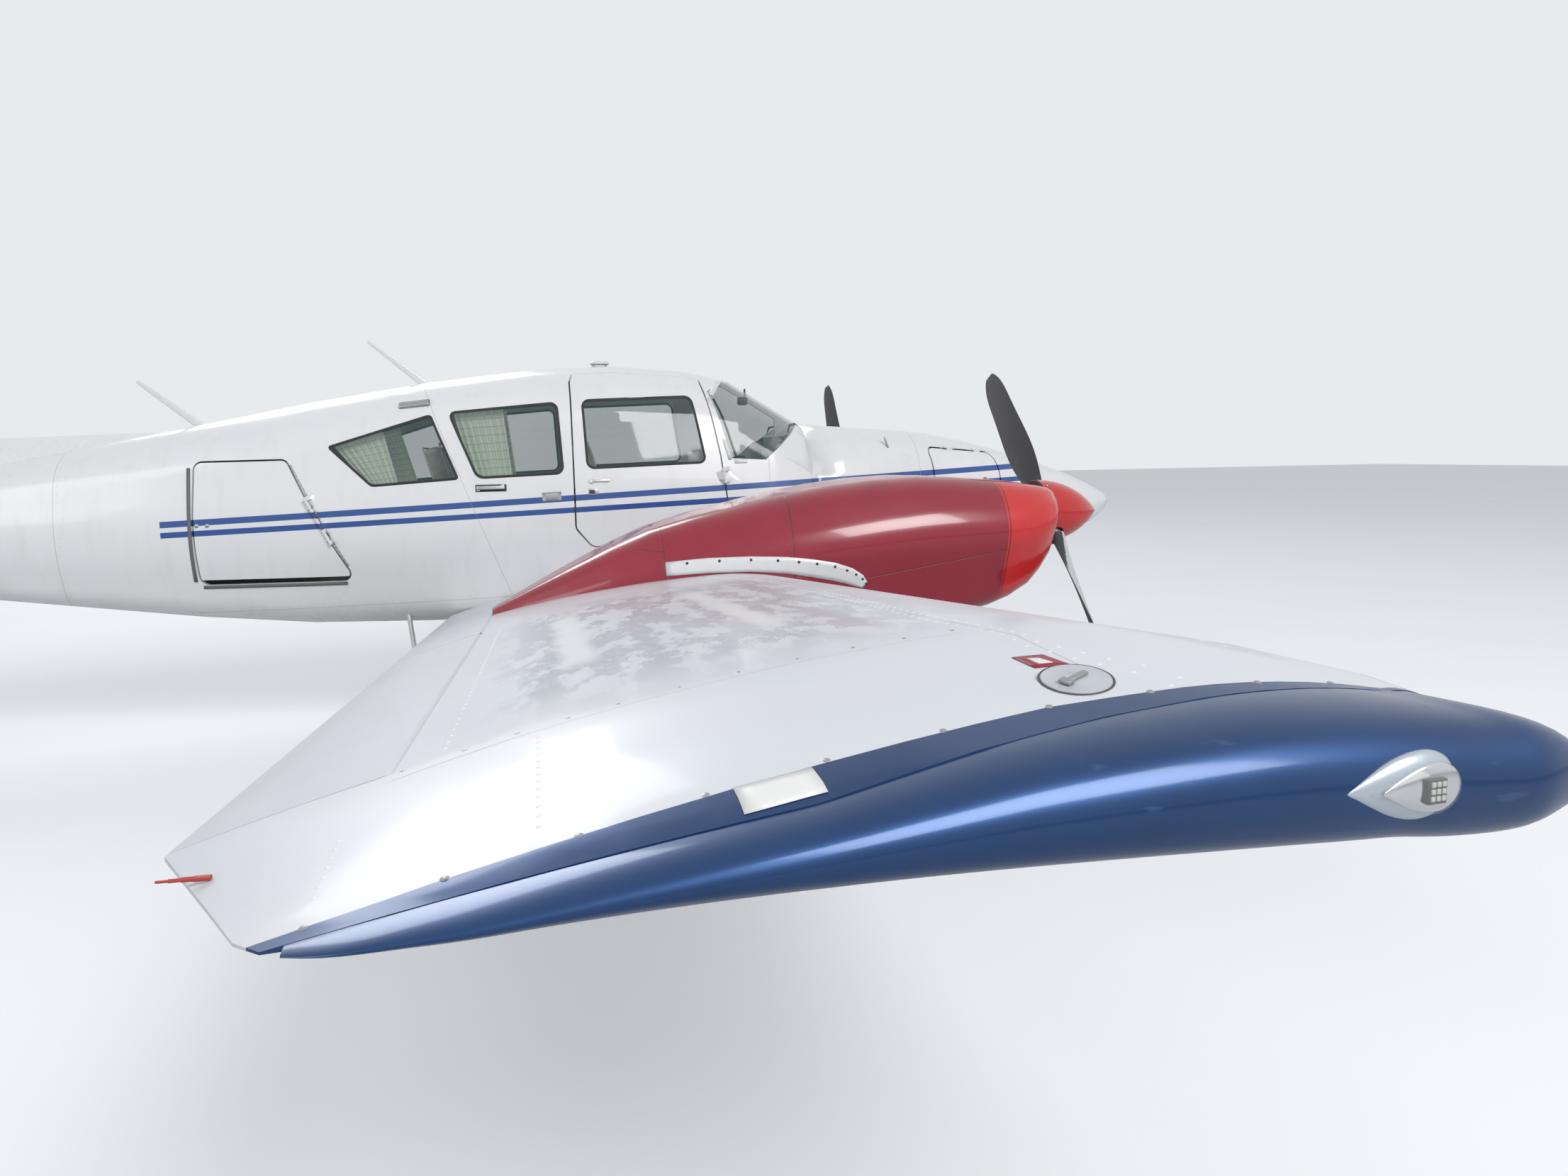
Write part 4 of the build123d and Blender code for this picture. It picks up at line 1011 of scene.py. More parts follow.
# %% Curtain cloth and four curtains
def checked_cloth(place):
    flat = place.add("ShaderNodeUVMap", out="UV")
    u, v = flat.axes()[:2]
    wide = (u * 14 % 1 - 0.5).line(0.07, 0.03)
    tall = (v * 9 % 1 - 0.5).line(0.06, 0.03)
    fine = (u * 14 % 1 - 0.12).line(0.03, 0.01) + (v * 9 % 1 - 0.12).line(0.025, 0.01)
    weave = place.noise(900, 1)
    tone = ((wide + tall) * 0.5).mix(colour(0.78, 0.84, 0.72), colour(0.27, 0.40, 0.31))
    return {
        "Base Color": (fine * 0.35).mix(tone, colour(0.55, 0.52, 0.25)),
        "Roughness": weave * 0.1 + 0.8,
        "Normal": (weave * 0.0002).bump(),
        "Sheen Weight": 0.2,
        # painted light: the cloth glows faintly in its own colours, so the curtains keep their brightness
        # inside the shaded cabin
        "Emission Color": (fine * 0.35).mix(tone, colour(0.55, 0.52, 0.25)),
        "Emission Strength": 0.12,
    }


curtain_cloth = finish("checked_cloth", checked_cloth)
wall_gap = 0.062


def curtain(name, side, corners, folds, gather):
    """A gathered sheet between top and bottom lines of x and z, hung just inside the fuselage wall."""
    (top_a, top_b), (low_a, low_b) = corners
    mesh = bmesh.new()
    across, rows = folds * 10, 14
    bmesh.ops.create_grid(mesh, x_segments=across, y_segments=rows, size=0.5, calc_uvs=True)
    layer = mesh.loops.layers.uv.verify()
    for face in mesh.faces:
        for loop in face.loops:
            loop[layer].uv = (loop.vert.co.x + 0.5, loop.vert.co.y + 0.5)
    for corner in mesh.verts:
        u, v = corner.co.x + 0.5, 0.5 - corner.co.y
        start, end = Vector(top_a).lerp(Vector(low_a), v), Vector(top_b).lerp(Vector(low_b), v)
        flat = start.lerp(end, u)
        phase = 2 * pi * folds * u + 0.6 * sin(5 * u + side)
        sway = gather * (0.55 + 0.45 * v) * (1 + 0.25 * sin(9 * u))
        wall_place, _ = inwards(body_skin, flat.x, flat.y, side)
        corner.co = (flat.x + 0.30 * sway * cos(phase),
                     wall_place.y - side * (wall_gap + sway * (1 + sin(phase))), flat.y)
    made = piece(name, mesh, curtain_cloth, recalculate=False)
    made.data.uv_layers.active_index = 0
    return made


middle_corners = ((0.39, 1.80), (0.66, 1.82)), ((0.50, 1.40), (0.70, 1.41))
rear_corners = ((-0.25, 1.63), (0.02, 1.70)), ((-0.04, 1.37), (0.10, 1.375))
for side, word in ((-1, "right"), (1, "left")):
    curtain(f"curtain_middle_{word}", side, middle_corners, 7, 0.016)
    curtain(f"curtain_rear_{word}", side, rear_corners, 7, 0.014)
print("curtains hung")

# %% [markdown]
# ## A smooth skin over the wing
# A CAD export is made of flat triangles, and on a long thin surface such as a wing tip their edges show as
# bands. The CAD mesh has to stay as it is, so a copy of it takes its place in the picture: its doubled
# corners are merged, and then the shading runs smoothly over every edge that is not sharp.

# %% Smooth copies of the curved nodes
def smooth_copy(name, material, angle=32, body="airframe"):
    shell = bmesh.new()
    shell.from_mesh(nodes[name].data)
    bmesh.ops.remove_doubles(shell, verts=shell.verts[:], dist=2e-5)
    data = bpy.data.meshes.new(name + "_skin")
    shell.to_mesh(data)
    shell.free()
    data.materials.append(material)
    data.shade_smooth()
    data.set_sharp_from_angle(angle=radians(angle))
    made = bpy.data.objects.new(name + "_skin", data)
    scene.collection.objects.link(made)
    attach(made, body)
    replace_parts(made, name)
    return made


for side in ("right", "left"):
    smooth_copy(f"wing_{side}", wing_finish, 26)
    smooth_copy(f"nacelle_{side}", nacelle_finish, 26)
for name in ("nose_section", "cabin_shell", "rear_fuselage"):
    smooth_copy(name, fuselage_finish, 24)
print("smooth copies made")

# %% [markdown]
# ## The drooped wing tip
# The real cap is a moulding that droops as it runs forward and outward, deeper in front than the plain
# CAD cap. Rays find the CAD cap's top, underside and outer edge at many stations, a half ellipse joins them,
# and each point moves down by an amount that grows towards the front, the outer edge and the underside.
# The joint with the wing stays where it is, and the long highlight runs without a jag.

# %% Tip caps
def ease(value, low, high):
    share = max(0.0, min(1.0, (value - low) / (high - low)))
    return share * share * (3 - 2 * share)


seam_points = ((0.48, 5.600), (1.12, 5.590), (1.49, 5.535), (1.945, 5.500), (2.10, 5.480))


def cap_seam(x):
    """How far out the joint of wing and cap lies at a station."""
    for (x0, y0), (x1, y1) in zip(seam_points, seam_points[1:]):
        if x <= x1:
            return y0 + (y1 - y0) * max(0.0, (x - x0) / (x1 - x0))
    return seam_points[-1][1]


cap_rear, cap_front = [Vector(corner).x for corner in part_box("tip_cap_right")]
cap_outer = 5.668
drop, forward = 0.070, 0.085
cap_inset = 0.006


def cap_rows(side, stations=110, around=28):
    """Rows of points round the cap, each from the seam's top over the outer edge to the seam's underside."""
    sign = -1 if side == "right" else 1
    tree = skin(f"tip_cap_{side}")
    seen = []
    for step in range(stations + 1):
        x = cap_rear + 0.003 + (cap_front - cap_rear - 0.006) * (1 - (1 - step / stations) ** 1.5)
        seam = cap_seam(x)
        above = tree.ray_cast(Vector((x, sign * (seam + 0.004), 3)), Vector((0, 0, -1)))[0]
        below = tree.ray_cast(Vector((x, sign * (seam + 0.004), 0)), Vector((0, 0, 1)))[0]
        if above is None or below is None:
            continue
        levels = [below.z + (above.z - below.z) * share for share in (0.15, 0.3, 0.45, 0.6, 0.75)]
        shots = [tree.ray_cast(Vector((x, sign * 7, z)), Vector((0, -sign, 0)))[0] for z in levels]
        reach = max([abs(shot.y) for shot in shots if shot is not None] + [seam + 0.003 + cap_inset])
        seen.append([x, above.z, below.z, reach])
    for _ in range(4):
        for column in (1, 2, 3):
            threes = zip(seen, seen[1:], seen[2:])
            middle = [(a[column] + 2 * b[column] + c[column]) / 4 for a, b, c in threes]
            for row, value in zip(seen[1:-1], middle):
                row[column] = value
    rows = []
    for x, top, low, reach in seen:
        row, seam = [], cap_seam(x)
        for step in range(around + 1):
            turn = pi / 2 - pi * step / around
            out = seam + (reach - cap_inset - seam) * cos(turn)
            outer = ease(out, seam, cap_outer)
            z = (top + low) / 2 + (top - low) / 2 * sin(turn)
            z -= drop * ease(x, 0.8, 2.05) * outer * ease(0.5 - sin(turn) / 2, 0.1, 0.9)
            row.append(Vector((x + forward * ease(x, 1.70, 2.04) * ease(out, seam, 5.64), sign * out, z)))
        rows.append(row + [row[0]])
    return rows


def drooped_tip(side):
    cap, rows = bmesh.new(), cap_rows(side)
    ribbon(cap, rows)
    for row in (rows[0], rows[-1]):
        cap.faces.new([cap.verts.new(place) for place in row[:-1]])
    made = piece(f"tip_cap_{side}_skin", cap, tip_finish)
    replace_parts(made, f"tip_cap_{side}")
    return made


for side in ("right", "left"):
    print("tip cap faces:", len(drooped_tip(side).data.polygons))

# %% [markdown]
# ## Rivets and screws on the wing
# Most of the wing's rivets are flush and belong to the paint, but some rows show: two rows of raised heads
# along the spar, a column near the trailing edge, and screws along the outer seam and the blue cap. Each
# head is a low cone that stands on the skin where a ray from above meets it.

# %% Wing fasteners
wing_skins = {"right": skin("wing_right", "tip_cap_right", "aileron_right", "flap_right", "nacelle_right"),
              "left": skin("wing_left", "tip_cap_left", "aileron_left", "flap_left", "nacelle_left")}
rivet_paint = finish("rivet_paint", plain(colour(0.80, 0.81, 0.82), 0.25, vary=0.12))
spar_line = ((1.52, 2.25), (1.618, 3.06), (1.575, 4.20), (1.545, 4.80), (1.555, 5.03), (1.545, 5.22),
             (1.585, 5.36), (1.63, 5.46))
lap_line = ((0.640, 5.158), (0.722, 5.146), (0.938, 5.115), (1.126, 5.078), (1.319, 5.050), (1.50, 5.02))
cap_line = ((0.590, 5.574), (0.726, 5.559), (0.865, 5.546), (1.006, 5.528), (1.150, 5.513),
            (1.298, 5.500), (1.442, 5.488), (1.580, 5.489), (1.733, 5.490), (1.844, 5.488))


def on_wing(side, points, pitch, shift=(0, 0)):
    sign = -1 if side == "right" else 1
    return [down(wing_skins[side], place.x + shift[0], place.y + sign * shift[1])
            for place in walk([(x, sign * y, 0) for x, y in points], pitch)]


for side, sign in (("right", -1), ("left", 1)):
    rivets, screws = bmesh.new(), bmesh.new()
    heads(rivets, on_wing(side, spar_line, 0.046, (0.009, 0)), 0.0045, 0.0012)
    heads(rivets, on_wing(side, spar_line, 0.046, (-0.016, 0.02)), 0.0045, 0.0012)
    heads(rivets, on_wing(side, ((0.824, 5.19), (0.823, 5.50)), 0.026), 0.0042, 0.0012)
    heads(rivets, on_wing(side, ((0.69, 2.95), (0.69, 5.08)), 0.055), 0.0034, 0.0009)
    heads(rivets, on_wing(side, ((1.90, 2.35), (1.86, 5.30)), 0.060), 0.0034, 0.0009)
    piece(f"wing_rivets_{side}", rivets, rivet_paint)
    heads(screws, on_wing(side, lap_line, 0.085), 0.0052, 0.0014)
    heads(screws, [down(wing_skins[side], x, sign * y) for x, y in cap_line], 0.0058, 0.0014)
    piece(f"wing_screws_{side}", screws, screw_steel)
print("wing rivets on both sides")

# %% [markdown]
# ## Fuel filler, plates and the trailing edge
# The filler is a flush cap in a round well: rings turned about the skin's normal, with a lever folded flat
# across it. A small plate with a crimson rim sits next to it, and a pale one inboard of the blue cap, and
# both are blank. A red static wick stands on the trailing edge, and rivets close the wing's open end behind
# the cap.

# %% Filler cap, blank plates and flange
cap_metal = finish("filler_lid", plain(colour(0.56, 0.58, 0.61), 0.3, 0.1))
plate_white = finish("plate_white", plain(colour(0.80, 0.79, 0.77), 0.35, vary=0.08))
plate_crimson = finish("plate_crimson", plain(colour(0.30, 0.012, 0.03), 0.4, vary=0.3))
ring_dark = finish("ring_dark", plain(colour(0.07, 0.07, 0.075), 0.5))


def patch_on_wing(name, side, corners, material, lift=0.0006, depth=0.0008):
    """A thin stuck-on plate: four corners in plan, laid on the skin from above."""
    sign = -1 if side == "right" else 1
    flat = bmesh.new()
    flat.faces.new([flat.verts.new((x, sign * y, 0)) for x, y in corners])
    bmesh.ops.subdivide_edges(flat, edges=flat.edges[:], cuts=3, use_grid_fill=True)
    for point in flat.verts:
        place, normal = down(wing_skins[side], point.co.x, point.co.y)
        point.co = place + normal * lift
    for face in flat.faces:
        face.normal_update()
        if face.normal.z < 0:
            face.normal_flip()
    return thicken(piece(name, flat, material, recalculate=False), depth)


filler_x, filler_y = 1.510, 5.428
placard_rim = ((1.482, 5.292), (1.486, 5.358), (1.534, 5.362), (1.526, 5.299))
placard_face = ((1.497, 5.307), (1.499, 5.343), (1.519, 5.346), (1.513, 5.314))
plate_corners = ((1.037, 5.529), (1.130, 5.524), (1.135, 5.577), (1.040, 5.583))
for side, sign in (("right", -1), ("left", 1)):
    place, normal = down(wing_skins[side], filler_x, sign * filler_y)
    seat = stand(place, normal)
    ring, lid = bmesh.new(), bmesh.new()
    turned(ring, ((0.0465, 0.0004), (0.0465, 0.0010), (0.0490, 0.0012), (0.0495, 0.0004)), seat, 40)
    piece(f"filler_ring_{side}", ring, ring_dark)
    turned(lid, ((0, 0.0020), (0.018, 0.0020), (0.020, 0.0010), (0.040, 0.0012), (0.0455, 0.0018),
                 (0.0462, 0.0004)), seat, 40)
    piece(f"filler_cap_{side}", lid, cap_metal)
    lever = bmesh.new()
    folded = seat @ Matrix.Rotation(0.5, 4, "Z")
    bar(lever, folded @ Matrix.Translation((0.004, 0, 0.002)), (0.034, 0.010, 0.0045), 0.0015)
    bar(lever, folded @ Matrix.Translation((-0.022, 0, 0.002)), (0.012, 0.018, 0.006), 0.0018)
    piece(f"filler_lever_{side}", lever, screw_steel)
    patch_on_wing(f"placard_rim_{side}", side, placard_rim, plate_crimson)
    patch_on_wing(f"placard_face_{side}", side, placard_face, plate_white, lift=0.0013, depth=0.0004)
    patch_on_wing(f"blank_plate_{side}", side, plate_corners, plate_white)
print("filler caps and plates made")

# %% Static wicks and the closing flange's rivets
wick_y, wick_step = 5.335, 0.014
wick_red = finish("wick_red", plain(colour(0.45, 0.05, 0.05), 0.5))
for side, sign in (("right", -1), ("left", 1)):
    wick, flange = bmesh.new(), bmesh.new()
    steps = [Vector((0.25 + number * 0.004, sign * wick_y, 3)) for number in range(110)]
    edge = next(step for step in steps if wing_skins[side].ray_cast(step, Vector((0, 0, -1)))[0])
    place, normal = down(wing_skins[side], edge.x + 0.026, edge.y)
    bar(wick, Matrix.Translation(place + Vector((-0.014, 0, -0.001))), (0.020, 0.010, 0.005), 0.0015)
    for step in range(3):
        start = place + Vector((-0.022 - step * wick_step, 0, 0.0015))
        rod(wick, start, start - Vector((wick_step, 0, 0)), 0.0032 - step * 0.0007, extra=0.002)
    piece(f"static_wick_{side}", wick, wick_red)
    spots = [down(wing_skins[side], cap_rear + 0.034, sign * (5.36 + number * 0.025)) for number in range(7)]
    heads(flange, [(place, normal) for place, normal in spots if place is not None], 0.0036, 0.001)
    piece(f"flange_rivets_{side}", flange, rivet_paint)
print("wicks and flange rivets made")

# %% [markdown]
# ## Fairing strip on the nacelle
# Where the cowl meets the wing, a white strip covers the joint. Its two edges are lines that were read off
# the photograph and laid on the CAD skin, with one row of points between them, so the strip follows the
# cowl. It ends in a half circle at the front, and dark screws run along its upper edge.

# %% Nacelle strip, ring behind the spinner and small dome
nacelle_skins = {"right": skin("nacelle_right"), "left": skin("nacelle_left")}
strip_top = ((1.352, 2.105, 1.079), (1.532, 2.149, 1.094), (1.709, 2.187, 1.097), (1.860, 2.215, 1.091),
             (1.965, 2.228, 1.078), (2.073, 2.234, 1.057), (2.150, 2.228, 1.030), (2.200, 2.216, 0.998),
             (2.222, 2.205, 0.965))
strip_low = ((1.352, 2.130, 1.020), (1.532, 2.172, 1.028), (1.709, 2.200, 1.028), (1.860, 2.222, 1.012),
             (1.965, 2.230, 0.992), (2.060, 2.230, 0.972), (2.120, 2.226, 0.958), (2.165, 2.214, 0.946),
             (2.200, 2.206, 0.938))


def on_nacelle(side, point, push=0.01):
    sign = -1 if side == "right" else 1
    outward = Vector((0, sign, 0.25)).normalized()
    start = Vector((point[0], sign * point[1], point[2])) + outward * push
    place, normal = nacelle_skins[side].find_nearest(start)[:2]
    return place, (normal if normal.y * sign > 0 else -normal)


def finely(line, cuts):
    points = [Vector(point) for point in line]
    pairs = zip(points, points[1:])
    return [here.lerp(there, step / cuts) for here, there in pairs for step in range(cuts)] + [points[-1]]


for side, sign in (("right", -1), ("left", 1)):
    rows = []
    for top, low in zip(finely(strip_top, 4), finely(strip_low, 4)):
        laid = [on_nacelle(side, top.lerp(low, share)) for share in (0, 0.25, 0.5, 0.75, 1)]
        rows.append([place + normal * 0.0012 for place, normal in laid])
    band = bmesh.new()
    ribbon(band, rows)
    for face in band.faces:
        face.normal_update()
    if sum(face.normal.y for face in band.faces) * sign < 0:
        bmesh.ops.reverse_faces(band, faces=band.faces[:])
    thicken(piece(f"nacelle_strip_{side}", band, trim_white, recalculate=False), 0.0022)
    screws = bmesh.new()
    middle = [top.lerp(low, 0.22) for top, low in zip(finely(strip_top, 4), finely(strip_low, 4))]
    spots = [on_nacelle(side, point) for point in middle[2::3]]
    heads(screws, [(place + normal * 0.0034, normal) for place, normal in spots], 0.0068, 0.002)
    piece(f"nacelle_strip_screws_{side}", screws, dark_screw)

    dome = bmesh.new()
    place, normal = nacelle_skins[side].ray_cast(Vector((2.945, sign * engine_y, 2)), Vector((0, 0, -1)))[:2]
    turned(dome, ((0.012, -0.002), (0.012, 0.004), (0.0085, 0.010), (0.004, 0.0125), (0, 0.013)),
           stand(place, normal), 16)
    piece(f"cowl_dome_{side}", dome, spinner_finish)
print("nacelle strips made")

# %% [markdown]
# ## Spinner ring and screws
# A narrow gap parts the turning spinner from the cowl, with the propeller's back plate inside it; a black
# ring there stands for both, and its black is painted shade.
# White screw heads hold the spinner along its rear edge. All of them turn with the propeller.

# %% Painted shade in the spinner gap, and spinner screws
gap_shade = finish("gap_shade", plain(colour(0.010, 0.010, 0.011), 0.6))
for side, sign in (("right", -1), ("left", 1)):
    shaft = Matrix.Translation((0, sign * engine_y, hub_z)) @ Matrix.Rotation(pi / 2, 4, "Y")
    ring, screws = bmesh.new(), bmesh.new()
    # painted shade: the black ring in the gap between spinner and cowl
    turned(ring, ((0.128, 3.198), (0.150, 3.198), (0.1525, 3.201), (0.1525, 3.206), (0.128, 3.206)), shaft,
           48)
    piece(f"spinner_gap_shade_{side}", ring, gap_shade, f"propeller_{side}")
    spinner_skin = skin(f"spinner_{side}")
    spots = []
    for step in range(18):
        turn_by = 2 * pi * (step + 0.4) / 18
        ray = Vector((0, sin(turn_by), cos(turn_by)))
        start = Vector((3.232, sign * engine_y, hub_z)) + ray * 0.3
        place, normal = spinner_skin.ray_cast(start, -ray)[:2]
        if place is not None and (place - start).length < 0.22:
            spots.append((place, normal if normal.dot(ray) > 0 else -normal))
    heads(screws, spots, 0.0045, 0.0018)
    piece(f"spinner_screws_{side}", screws, rivet_paint, f"propeller_{side}")
print("spinner rings fitted")

# %% [markdown]
# ## Navigation lamp
# A clear teardrop bubble stands on the cap's outer edge, round in front and pointed behind. Inside are a
# bright base and a block with nine small diodes. Outside, a pale bezel runs round it, and the cap rises
# behind it in a blue brow. The bubble is a sphere drawn long, with its rear half pulled in to a point.

# %% Bubble, bezel, diodes and brow
lamp_x, lamp_y, lamp_z = 1.842, 5.660, 1.138
diode_white = finish("diode_white", plain(colour(0.60, 0.60, 0.50), 0.3, vary=0.05))
lamp_dark = finish("lamp_dark", plain(colour(0.06, 0.055, 0.05), 0.5))
bezel_pale = finish("bezel_pale", plain(colour(0.50, 0.56, 0.62), 0.25, 0.5, vary=0.15))


def teardrop(mesh, matrix, length, wide, tall, point=0.75, rings=4):
    part = bmesh.new()
    bmesh.ops.create_icosphere(part, subdivisions=rings, radius=1)
    for corner in part.verts:
        rear = max(0.0, -corner.co.x)
        corner.co.y *= 1 - point * rear ** 2.2
        corner.co.z *= 1 - point * rear ** 2.2
        corner.co.x = corner.co.x * length / 2 * (1.35 if corner.co.x < 0 else 0.65)
        corner.co.y *= wide / 2
        corner.co.z *= tall / 2
    place_in(mesh, part, matrix)


for side, sign in (("right", -1), ("left", 1)):
    seat = Matrix.Translation((lamp_x, sign * lamp_y, lamp_z)) @ Matrix.Rotation(sign * -0.10, 4, "Z")
    bubble, bezel, brow, block, diodes, base = [bmesh.new() for _ in range(6)]
    teardrop(bubble, seat, 0.130, 0.044, 0.066)
    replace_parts(piece(f"lamp_bubble_{side}", bubble, lens_glass), f"nav_lamp_{side}")
    teardrop(bezel, seat @ Matrix.Translation((-0.006, -sign * 0.008, 0.002)), 0.162, 0.034, 0.084)
    piece(f"lamp_bezel_{side}", bezel, bezel_pale)
    teardrop(brow, seat @ Matrix.Translation((0.020, -sign * 0.056, 0.026)), 0.180, 0.085, 0.085, 0.6)
    piece(f"lamp_brow_{side}", brow, tip_finish)
    teardrop(base, seat @ Matrix.Translation((0.004, sign * 0.0045, 0.001)), 0.118, 0.014, 0.060)
    piece(f"lamp_base_{side}", base, chrome)
    bar(block, seat @ Matrix.Translation((-0.006, sign * 0.012, -0.015)), (0.028, 0.008, 0.030), 0.001)
    piece(f"lamp_block_{side}", block, lamp_dark)
    for row in (-1, 0, 1):
        for column in (-1, 0, 1):
            spot = Matrix.Translation((-0.006 + column * 0.0080, sign * 0.0165, -0.0025 + row * 0.0085))
            bar(diodes, seat @ spot, (0.0058, 0.0025, 0.006), 0.0006)
    piece(f"lamp_diodes_{side}", diodes, diode_white)
    screw = bmesh.new()
    rear_point = seat @ Vector((-0.098, -sign * 0.006, 0))
    heads(screw, [(rear_point, Vector((0, sign, 0)))], 0.004, 0.002)
    piece(f"lamp_screw_{side}", screw, screw_steel)
print("lamps fitted")

# %% [markdown]
# ## Fittings on the fuselage
# The starboard side carries what people touch and what the air passes: a door handle and latch, a grab
# handle by the middle window, a grey repair patch over the stripes, an air scoop on the roof, a probe on the
# nose and two locks on the baggage door. Each stands on the skin by a ray from the side or from above.

# %% Handles, patch, scoop, probe and locks
aluminium = plain(colour(0.45, 0.45, 0.45), 0.38, 0.9, grain=200, vary=0.4)
worn_aluminium = finish("worn_aluminium", aluminium)
# painted shade: near-black pieces that stand for the shade inside the grab handle's recess, the latch slot
# and the scoop's mouth
recess_shade = finish("recess_shade", plain(colour(0.03, 0.03, 0.032), 0.6))
patch_grey = finish("patch_grey", plain(colour(0.38, 0.39, 0.40), 0.45, 0.2, vary=0.2))


def on_side(x, z, side=-1, lift=0.0):
    place, normal = inwards(body_skin, x, z, side)
    return stand(place + normal * lift, normal)


recess, grip = bmesh.new(), bmesh.new()
bar(recess, on_side(0.587, 1.366, lift=-0.004), (0.165, 0.040, 0.006), 0.0029, 4)
piece("grab_recess_shade", recess, recess_shade)
for x in (0.520, 0.650):
    bar(grip, on_side(x, 1.3665 + (x - 0.587) * 0.08), (0.022, 0.026, 0.012), 0.004)
bar(grip, on_side(0.585, 1.3665, lift=0.010), (0.150, 0.020, 0.007), 0.0032, 4)
piece("grab_handle", grip, worn_aluminium)

handle, key = bmesh.new(), bmesh.new()
turned(handle, ((0, 0.009), (0.011, 0.009), (0.0145, 0.006), (0.015, 0)), on_side(1.128, 1.393), 24)
bar(handle, on_side(1.178, 1.3935, lift=0.004), (0.100, 0.012, 0.006), 0.0028, 4)
piece("door_handle", handle, chrome, "cabin_door")
bar(key, on_side(1.1365, 1.3345, lift=-0.001), (0.054, 0.034, 0.003), 0.0012)
piece("door_latch_plate", key, worn_aluminium, "cabin_door")
slot_mesh = bmesh.new()
bar(slot_mesh, on_side(1.130, 1.3335, lift=0.0008), (0.030, 0.020, 0.002), 0.0009)
piece("door_latch_slot_shade", slot_mesh, recess_shade, "cabin_door")

patch_flat = ((0.858, 1.3355), (0.961, 1.3395), (0.961, 1.2895), (0.858, 1.2870))
ring_on_side("repair_patch", patch_flat, 0.003, 0.02, -1, patch_grey, solid=True, depth=0.0008)

scoop, mouth = bmesh.new(), bmesh.new()
place, normal = near(body_skin, (0.195, -0.41, 1.835))
seat = stand(place, normal)
bar(scoop, seat @ Matrix.Translation((0, 0, -0.003)), (0.165, 0.050, 0.020), 0.0095, 5)
piece("vent_scoop", scoop, worn_aluminium)
bar(mouth, seat @ Matrix.Translation((0.072, 0, 0.002)), (0.020, 0.036, 0.012), 0.002)
piece("vent_mouth_shade", mouth, recess_shade)

locks = bmesh.new()
for x in (-0.916, -0.864):
    turned(locks, ((0, 0.0035), (0.0075, 0.0035), (0.0105, 0.0015), (0.011, 0)), on_side(x, 1.1985), 16)
piece("baggage_locks", locks, worn_aluminium, "rear_baggage_door")
nose_locks = bmesh.new()
for x in (3.30, 3.62):
    turned(nose_locks, ((0, 0.003), (0.006, 0.003), (0.009, 0.001), (0.0095, 0)), on_side(x, 1.20), 16)
piece("nose_locks", nose_locks, worn_aluminium, "nose_baggage_door")

probe = bmesh.new()
place, normal = down(body_skin, 2.93, -0.36)
leaning = stand(place, (0, 0, 1)) @ Matrix.Rotation(-0.35, 4, "Y") @ Matrix.Translation((0, 0, -0.004))
bar(probe, leaning, (0.012, 0.006, 0.075), 0.0025)
piece("air_probe", probe, worn_aluminium)

puck = bmesh.new()
place, normal = down(body_skin, 1.23, 0.0)
turned(puck, ((0.056, 0.0), (0.056, 0.010), (0.050, 0.016), (0.02, 0.019), (0, 0.0195)),
       stand(place, (0, 0, 1)), 40)
piece("roof_puck", puck, trim_white)
print("side fittings made")

# %% [markdown]
# ## Edges of the rear baggage door
# This door stands a little proud, so its rear and lower edges throw a grey band of shadow on the skin, and
# two grey strips laid in the gap there are that shadow, painted. The front edge turns on a long piano hinge,
# whose
# knuckles look like a row of scallops: short rods with a small space between each and the next.

# %% Painted door shadow and piano hinge
# painted shadow: a mid grey for the strips where the proud door shades the skin
door_shadow_grey = finish("door_shadow_grey", plain(colour(0.16, 0.165, 0.17), 0.6))


# A strip of painted shadow laid on the skin along a path of x and z
def door_shadow_strip(name, points, width, material, body="airframe", depth=0.004):
    path = [inwards(body_skin, place.x, place.z, -1) for place in walk([(x, 0, z) for x, z in points], 0.05)]
    return strip(name, path, width, material, body, lift=0.0004, depth=depth)


# painted shadow along the door's rear and lower edges
door_shadow_strip("baggage_door_shadow_rear", ((-0.949, 1.50), (-0.951, 1.20), (-0.954, 0.90)), 0.017, door_shadow_grey)
door_shadow_strip("baggage_door_shadow_low", ((-0.92, 0.869), (-0.60, 0.869), (-0.19, 0.869)), 0.018, door_shadow_grey)
knuckles = bmesh.new()
points = list(walk([(-0.440, 0, 1.510), (-0.175, 0, 0.960)], 0.026))
for here, there in zip(points, points[1:]):
    place, normal = inwards(body_skin, here.x, here.z, -1)
    after, _ = inwards(body_skin, there.x, there.z, -1)
    if (after - place).length < 0.06:
        rod(knuckles, place + normal * 0.001, after + normal * 0.001, 0.0042, share=0.8)
piece("baggage_hinge_knuckles", knuckles, worn_aluminium)
print("baggage door's edges made")

# %% [markdown]
# ## Aerials
# Two whip-like blade aerials lean back from the roof. Each is a flat tapered blade with rounded edges: rings
# of points, flat ellipses that get smaller towards the tip, are joined by a ribbon of faces whose two open
# ends are filled. They replace the thinner CAD blades.

